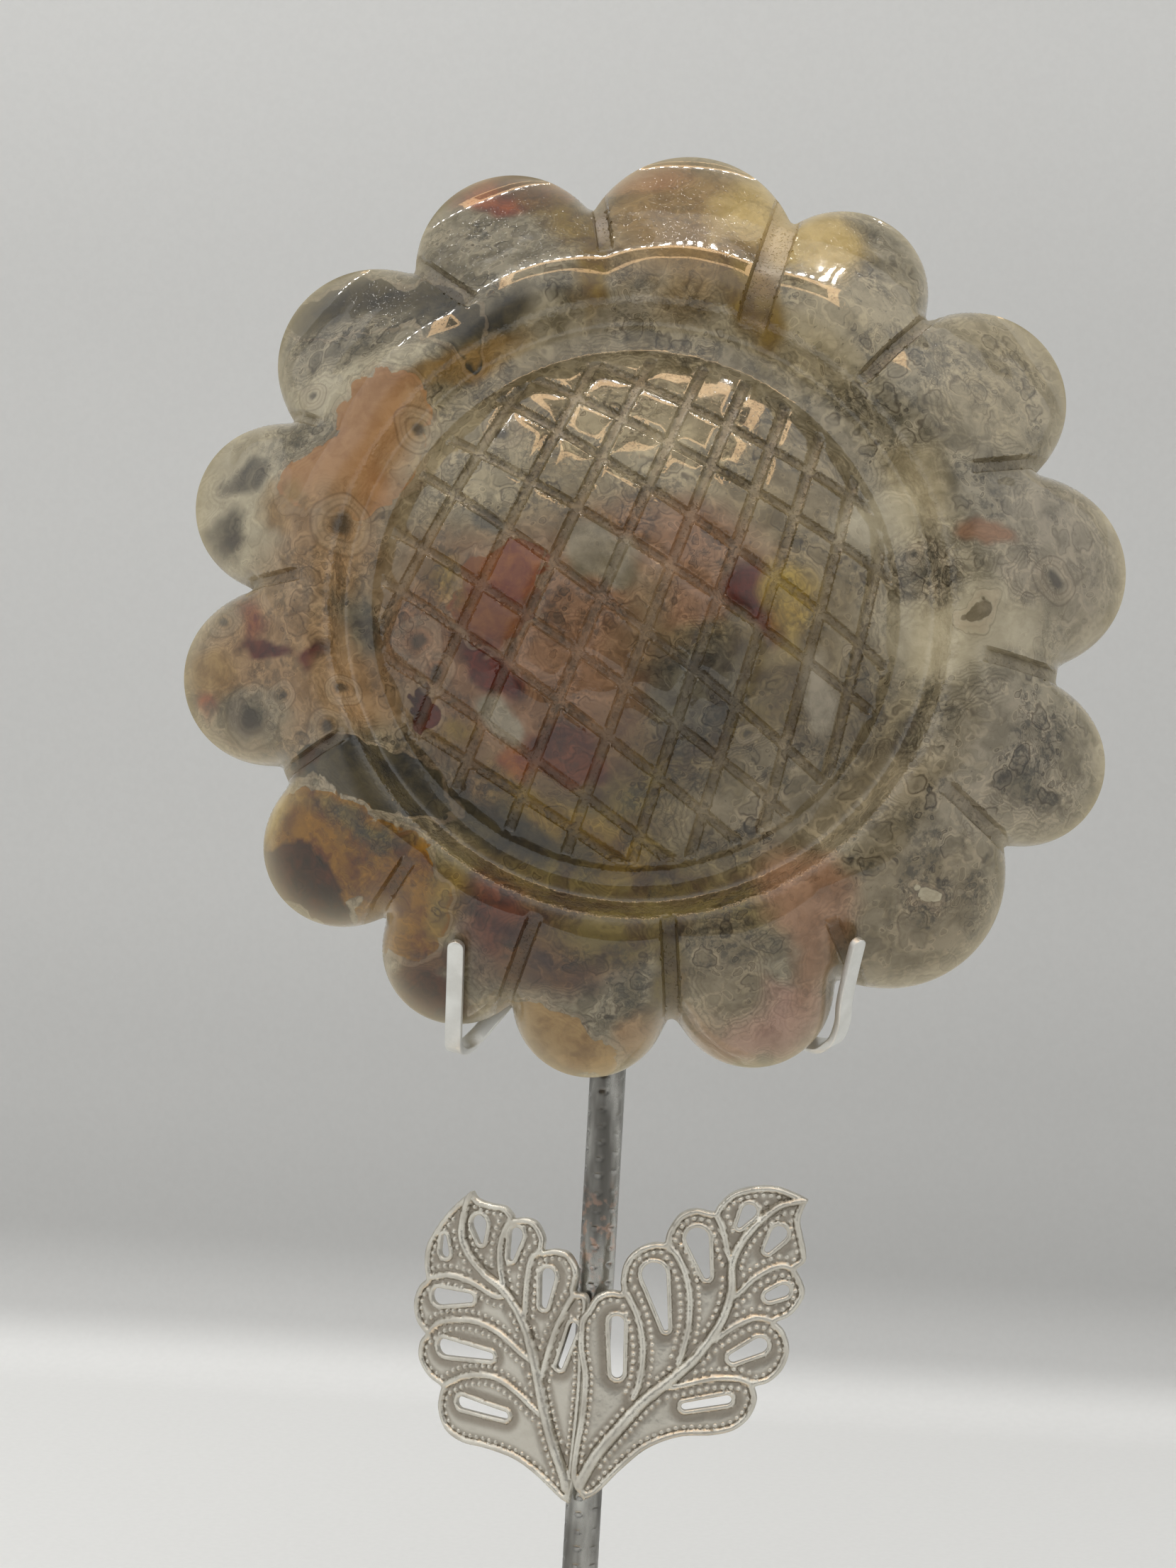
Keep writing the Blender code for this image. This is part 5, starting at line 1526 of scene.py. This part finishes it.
def lace_colour(nodes, point, wavy):
    """The stone's whole colour: its patches, and moss, bands, eyes, thin lines and specks over them."""
    lumps = nodes.group(lace_lumps_group(), {"Point": wavy, "Large": 0.24, "Small": 0.55})["Distance"]
    lumpy = nodes.math("SUBTRACT", lumps, LUMP_EDGE)
    outside = nodes.math("MULTIPLY_ADD", lumpy, LUMPS_IN_BORDER, nodes.attribute("outside crisp"))
    colour, lively = patch_colour(nodes, wavy, lumps, outside)
    moss = nodes.group(moss_group(), {"Point": point, "Wavy Point": wavy})["Moss"]
    colour = overlay(nodes, nodes.math("MULTIPLY", moss, lively), "moss", colour)
    lace = nodes.group(lace_lines_group(), {"Point": wavy, "Distance": lumps})
    patchy = nodes.between(nodes.noise(point, 0.14, 2.0), 0.42, 0.56, 0.25, 1.0)
    halo = nodes.product(lace["Halo"], lively, PALE_PART)
    colour = nodes.blend(halo, colour, nodes.tinted(colour, PALER))
    shells = nodes.group(shell_bands_group(), {"Point": point, "Distance": nodes.attribute("shell")})
    banded = nodes.math("MULTIPLY_ADD", lively, 0.75, 0.25)
    pale = nodes.product(shells["Pale"], banded, PALE_PART)
    colour = nodes.blend(pale, colour, nodes.tinted(colour, PALER))
    border = nodes.group(border_band_group(), {"Distance": outside, "Width": BORDER_WIDTH})
    colour = overlay(nodes, border["Band"], "border band", colour)
    eyes = nodes.group(eye_rings_group(), {"Reach": nodes.attribute("eye")})
    colour = overlay(nodes, eyes["Pale"], "pale of an eye", colour)
    colour = overlay(nodes, eyes["Core"], "core of an eye", colour)
    line = nodes.product(lace["Line"], lively, patchy, LINE_PARTS["lace"])
    line = nodes.math("MAXIMUM", line, nodes.product(border["Line"], LINE_PARTS["border"]))
    line = nodes.math("MAXIMUM", line, nodes.product(shells["Line"], banded, LINE_PARTS["shells"]))
    line = nodes.math("MAXIMUM", line, nodes.product(eyes["Ring"], LINE_PARTS["eyes"]))
    colour = nodes.blend(line, colour, nodes.tinted(colour, LINE_TINT))
    specks = nodes.between(nodes.noise(point, 1.7, 3.0), 0.64, 0.73)
    specks = nodes.math("MULTIPLY", specks, nodes.math("MULTIPLY_ADD", lively, 0.4, 0.08))
    return overlay(nodes, specks, "specks", colour)


def agate_material():
    """Crazy lace agate: coloured patches, thin lines round grey lumps, polished but matt in its cuts."""
    made, nodes = new_material("lace_agate")
    world_point = nodes.add("ShaderNodeTexCoord", output="Object")
    frame_of_flower = {"Location": Vector(flower_place()) * MM, "Rotation": FLOWER_TURNS, "Scale": (MM,) * 3}
    point = nodes.add("ShaderNodeMapping", {"Vector": world_point, **frame_of_flower}, vector_type="TEXTURE")
    wavy = nodes.group(wavy_point_group(), {"Point": point, "Slow": 3.6, "Fast": 2.4})["Point"]
    colour = lace_colour(nodes, point, wavy)
    # Paints a pale glow at the thin rim, as light shining through the thin stone
    colour = overlay(nodes, nodes.attribute("rim"), "painted rim glow", colour)
    cut = nodes.attribute("cut")
    # Darkens the cuts and grooves with painted shade
    colour = overlay(nodes, cut, "cut", colour)
    # Paints the valley lighter, to lift the shade that falls in it
    painted_valley_light = nodes.math("MULTIPLY", nodes.attribute("painted_valley_light"), VALLEY_LIGHT_PART)
    colour = nodes.blend(painted_valley_light, colour, nodes.tinted(colour, VALLEY_LIGHT_TINT))

    worn = nodes.between(nodes.noise(point, 0.8, 3.0), 0.3, 0.7, 0.02, 0.06)
    matt = nodes.math("MULTIPLY_ADD", cut, 0.42, worn)
    polish = nodes.noise(point, 0.22, 1.0)
    marks = nodes.product(nodes.noise(point, 1.6, 2.0), nodes.attribute("chatter"), 0.24)
    height = nodes.math("MULTIPLY_ADD", polish, 0.07, marks)
    pits = nodes.between(nodes.noise(point, 3.5, 2.0), 0.3, 0.42, 0.0, 1.0)
    height = nodes.math("MULTIPLY_ADD", pits, nodes.math("MULTIPLY_ADD", cut, 0.05, 0.004), height)
    surface = {"Base Color": colour, "Roughness": matt, "IOR": 1.54, "Normal": nodes.bump(height, MM)}
    finish_material(nodes, surface)
    return made


COPPER = (0.62, 0.36, 0.25, 1.0)
COPPER_FADE = 6.0
SATIN_BUMP = 0.03
TURNING_BUMP = 0.02


def metal_wear_group():
    """Fine satin grain, and how darkened the metal is, which is most in its hollows."""
    nodes, given, out = new_group(
        "metal wear", ("Point", "Hollow", "Grain Size", "Clouds"), ("Grain", "Tarnish")
    )
    nodes.feed(nodes.noise(given["Point"], given["Grain Size"], 4.0, roughness=0.7), out["Grain"])
    clouds = nodes.between(nodes.noise(given["Point"], 0.25, 3.0), 0.35, 0.65, 0.0, given["Clouds"])
    nodes.feed(nodes.math("MAXIMUM", nodes.math("MULTIPLY", given["Hollow"], 0.85), clouds), out["Tarnish"])
    return nodes.tree


def metal_material(
    name, wear, bright, tarnished, rough, grain=2.4, clouds=0.35, stretch=1.0, cast=0.0, copper=()
):
    """Satin metal, darker and duller in its hollows, with worn copper showing between two heights."""
    made, nodes = new_material(name)
    point = nodes.place_in_mm()
    stretched = nodes.vector("MULTIPLY", point, (1.0, 1.0, stretch))
    given = {"Point": stretched, "Hollow": nodes.attribute("hollow"), "Grain Size": grain, "Clouds": clouds}
    worn = nodes.group(wear, given)
    colour = nodes.blend(worn["Tarnish"], (*bright, 1.0), (*tarnished, 1.0))
    if copper:
        low, high = copper
        height = nodes.add("ShaderNodeSeparateXYZ", {0: point}, "Z")
        above = nodes.between(height, low - COPPER_FADE, low)
        near = nodes.math("MULTIPLY", above, nodes.between(height, high, high + COPPER_FADE, 1.0, 0.0))
        blotches = nodes.between(nodes.noise(point, 0.9, 3.0), 0.5, 0.66, 0.0, 0.35)
        colour = nodes.blend(nodes.math("MULTIPLY", near, blotches), colour, COPPER)
    dull = nodes.between(worn["Grain"], 0.3, 0.7, rough - 0.06, rough + 0.06)
    dull = nodes.math("MULTIPLY_ADD", worn["Tarnish"], 0.2, dull)
    height = nodes.math("MULTIPLY_ADD", nodes.noise(point, 0.75, 2.0), cast, worn["Grain"])
    bump = nodes.bump(height, SATIN_BUMP * MM)
    finish_material(nodes, {"Base Color": colour, "Metallic": 1.0, "Roughness": dull, "Normal": bump})
    return made


def turned_metal_material(wear):
    """The foot's finish: satin metal with faint circles from turning."""
    made, nodes = new_material("turned_metal")
    point = nodes.place_in_mm()
    flat = nodes.vector("MULTIPLY", point, (1.0, 1.0, 0.0))
    out = nodes.add("ShaderNodeVectorMath", {0: flat}, "Value", operation="LENGTH")
    circles = nodes.noise(nodes.add("ShaderNodeCombineXYZ", {"X": out}), 3.0, 4.0)
    worn = nodes.group(wear, {"Point": point, "Hollow": 0.0, "Grain Size": 2.0, "Clouds": 0.35})
    colour = nodes.blend(worn["Tarnish"], (0.62, 0.61, 0.58, 1.0), (0.4, 0.38, 0.34, 1.0))
    rough = nodes.between(circles, 0.3, 0.7, 0.26, 0.4)
    bump = nodes.bump(circles, TURNING_BUMP * MM)
    finish_material(nodes, {"Base Color": colour, "Metallic": 1.0, "Roughness": rough, "Normal": bump})
    return made


# The pieces, each on the stand's one body


def put(made, node, material):
    made.data.materials.append(material)
    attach(made, "root")
    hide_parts(node)


put(build_flower(), "agate_flower", agate_material())

wear = metal_wear_group()
silver = metal_material("satin_silver", wear, (0.66, 0.635, 0.565), (0.27, 0.235, 0.19), 0.3, cast=6.0)
rod_looks = {"clouds": 0.95, "stretch": 0.25, "copper": (62.0, 74.0)}
rod = metal_material("rod_metal", wear, (0.5, 0.495, 0.465), (0.11, 0.105, 0.095), 0.18, **rod_looks)
strip_metal = metal_material("strip_metal", wear, (0.74, 0.74, 0.71), (0.5, 0.49, 0.46), 0.42, grain=3.0)
put(build_strip("left_strip", LEFT_STRIP), "holder_strip_left", strip_metal)
put(build_strip("right_strip", RIGHT_STRIP), "holder_strip_right", strip_metal)
put(build_stem(), "stem", rod)
put(build_leaf("left_leaf", LEFT_LEAF), "leaf_left", silver)
put(build_leaf("right_leaf", RIGHT_LEAF), "leaf_right", silver)
put(build_foot(), "base_disc", turned_metal_material(wear))

# The floor, the wall, the lights and the camera

WALL_BACK = 0.235
COVE_RADIUS = 0.025
ROOM_HALF_WIDTH = 1.2
WALL_HEIGHT = 1.1
FLOOR_FRONT = -1.0
COVE_STEPS = 24
# How pale the backdrop is, from its floor up its wall: height in metres and how much light it gives back.
# The greyer tones low on the wall are painted shade, and the paler ones higher up painted light
BACKDROP_PAINTED_TONES = (
    (0.002, 0.87),
    (0.011, 0.60),
    (0.026, 0.53),
    (0.056, 0.57),
    (0.1, 0.63),
    (0.19, 0.68),
    (0.27, 0.78),
)
# How much darker the backdrop is on its right than on its left, and how far from the middle that is reached
SIDE_SHADE = 0.07
SIDE_REACH = 0.12


def stage(name, points, faces, material):
    """Adds a mesh that belongs to the room and not to the object."""
    mesh = bpy.data.meshes.new(name)
    mesh.from_pydata(points, [], faces)
    mesh.materials.append(material)
    made = bpy.data.objects.new(name, mesh)
    bpy.context.scene.collection.objects.link(made)
    return made


def paper_material():
    """Pale paper, painted greyer low on its wall and darker on its right as painted shade, which can be seen
    only from its front.
    """
    made, nodes = new_material("backdrop_paper")
    place = nodes.add("ShaderNodeTexCoord", output="Object")
    height = nodes.add("ShaderNodeSeparateXYZ", {0: place}, "Z")
    painted_tone = BACKDROP_PAINTED_TONES[0][1]
    for (low, _), (high, pale) in zip(BACKDROP_PAINTED_TONES, BACKDROP_PAINTED_TONES[1:]):
        painted_tone = nodes.mix(nodes.between(height, low, high), painted_tone, pale)
    fibres = nodes.between(nodes.noise(place, 900.0, 3.0), 0.3, 0.7, 0.98, 1.0)
    across = nodes.add("ShaderNodeSeparateXYZ", {0: place}, "X")
    painted_side_shade = nodes.between(across, -SIDE_REACH, SIDE_REACH, 1.0, 1.0 - SIDE_SHADE)
    colour = nodes.tinted((1.0, 1.0, 0.99, 1.0), nodes.product(painted_tone, fibres, painted_side_shade))
    paper = nodes.add("ShaderNodeBsdfPrincipled", {"Base Color": colour, "Roughness": 0.9}, "BSDF")
    behind = nodes.add("ShaderNodeNewGeometry", output="Backfacing")
    clear = nodes.add("ShaderNodeBsdfTransparent")
    shown = nodes.add("ShaderNodeMixShader", {0: behind, 1: paper, 2: clear})
    nodes.add("ShaderNodeOutputMaterial", {"Surface": shown})
    return made


def build_backdrop():
    """A pale floor that curves up into a plain wall, with shade painted low down on the wall."""
    profile = [(FLOOR_FRONT, 0.0), (WALL_BACK - COVE_RADIUS, 0.0)]
    for step in range(1, COVE_STEPS + 1):
        turn = math.pi / 2 * step / COVE_STEPS
        back = WALL_BACK - COVE_RADIUS + COVE_RADIUS * math.sin(turn)
        profile.append((back, COVE_RADIUS * (1 - math.cos(turn))))
    profile.append((WALL_BACK, WALL_HEIGHT))
    points = [(side * ROOM_HALF_WIDTH, y, z) for y, z in profile for side in (-1, 1)]
    faces = [(2 * i, 2 * i + 1, 2 * i + 3, 2 * i + 2) for i in range(len(profile) - 1)]
    stage("backdrop", points, faces, paper_material()).data.shade_smooth()


def glowing(name, strength, colour):
    made, nodes = new_material(name)
    light = nodes.add("ShaderNodeEmission", {"Color": (*colour, 1.0), "Strength": strength}, "Emission")
    nodes.add("ShaderNodeOutputMaterial", {"Surface": light})
    return made


# The lights over the object: a panel with a bright band round it, and a row of small lamps, in metres
PANEL_HEIGHT = 0.6
PANEL_LEFT = -0.225
PANEL_RIGHT = 0.205
PANEL_FRONT = -0.225
PANEL_BACK = 0.05
PANEL_BAND = 0.04
PANEL_BACK_BAND = 0.05
DOT_ROW = 0.061
DOT_FIRST = -0.35
DOT_PITCH = 0.026
DOT_COUNT = 21
DOT_SIZE = 0.011
# How strongly each light glows, and its colour
GLOW = {
    "light_band": (8.0, (1.0, 0.68, 0.4)),
    "light_middle": (0.8, (1.0, 0.86, 0.72)),
    "light_dots": (110.0, (1.0, 0.97, 0.92)),
}


def build_lights():
    """A square band of warm light overhead with a dimmer middle, and a row of small white lamps beyond."""
    x0, x1, y0, y1, band = PANEL_LEFT, PANEL_RIGHT, PANEL_FRONT, PANEL_BACK, PANEL_BAND
    inner = y1 - PANEL_BACK_BAND
    dots = [(DOT_FIRST + index * DOT_PITCH, DOT_ROW) for index in range(DOT_COUNT)]
    rectangles = {
        "light_band": [
            (x0, y0, x1, y0 + band),
            (x0, inner, x1, y1),
            (x0, y0 + band, x0 + band, inner),
            (x1 - band, y0 + band, x1, inner),
        ],
        "light_middle": [(x0 + band, y0 + band, x1 - band, inner)],
        "light_dots": [(x, y, x + DOT_SIZE, y + DOT_SIZE) for x, y in dots],
    }
    for name, areas in rectangles.items():
        points = []
        faces = []
        for left, front, right, back in areas:
            faces.append(tuple(len(points) + corner for corner in (0, 3, 2, 1)))
            corners = ((left, front), (right, front), (right, back), (left, back))
            points += [(x, y, PANEL_HEIGHT) for x, y in corners]
        stage(name, points, faces, glowing(name, *GLOW[name])).visible_diffuse = False


# How the room's light changes along a direction: from, to, and the light it starts and ends with
ROOM_BEHIND_VIEWER = (-0.97, -0.72, 0.14, 0.8)
ROOM_ABOVE = (0.0, 1.0, 0.0, 0.6)
ROOM_COLOUR = (1.0, 1.0, 0.985, 1.0)


def build_world():
    """Soft room light: bright above and behind, dimmer from the side of the viewer."""
    world = bpy.data.worlds.new("room")
    world.use_nodes = True
    world.node_tree.nodes.clear()
    nodes = Nodes(world.node_tree)
    ray = nodes.add("ShaderNodeTexCoord", output="Generated")
    parts = nodes.tree.nodes.new("ShaderNodeSeparateXYZ")
    nodes.feed(ray, parts.inputs[0])
    level = nodes.between(parts.outputs["Y"], *ROOM_BEHIND_VIEWER)
    above = nodes.between(parts.outputs["Z"], *ROOM_ABOVE)
    light = {"Color": ROOM_COLOUR, "Strength": nodes.math("ADD", level, above)}
    room = nodes.add("ShaderNodeBackground", light, "Background")
    nodes.add("ShaderNodeOutputWorld", {"Surface": room})
    bpy.context.scene.world = world


CAMERA_DISTANCE = 0.42
CAMERA_FOCAL = 78.6
CAMERA_SENSOR = 36.0
CAMERA_NEAR = 0.01
# Where the camera aims, from the flower's middle
CAMERA_AIM = (-7.2, -3.6, -20.6)
CAMERA_ROLL = 3.2


def build_camera():
    """Straight before the flower's middle, aimed a little lower, and rolled so that the stem leans right."""
    lens = bpy.data.cameras.new("camera")
    lens.sensor_fit = "VERTICAL"
    lens.sensor_height = CAMERA_SENSOR
    lens.lens = CAMERA_FOCAL
    lens.clip_start = CAMERA_NEAR
    camera = bpy.data.objects.new("camera", lens)
    bpy.context.scene.collection.objects.link(camera)
    middle = Vector(flower_place()) * MM
    camera.location = middle - Vector((0, CAMERA_DISTANCE, 0))
    aim = middle + Vector(CAMERA_AIM) * MM
    look = (aim - camera.location).to_track_quat("-Z", "Y")
    roll = Quaternion((0, 0, 1), math.radians(CAMERA_ROLL))
    camera.rotation_mode = "QUATERNION"
    camera.rotation_quaternion = look @ roll
    bpy.context.scene.camera = camera


build_backdrop()
build_lights()
build_world()
build_camera()
bpy.context.scene.view_settings.view_transform = "Standard"
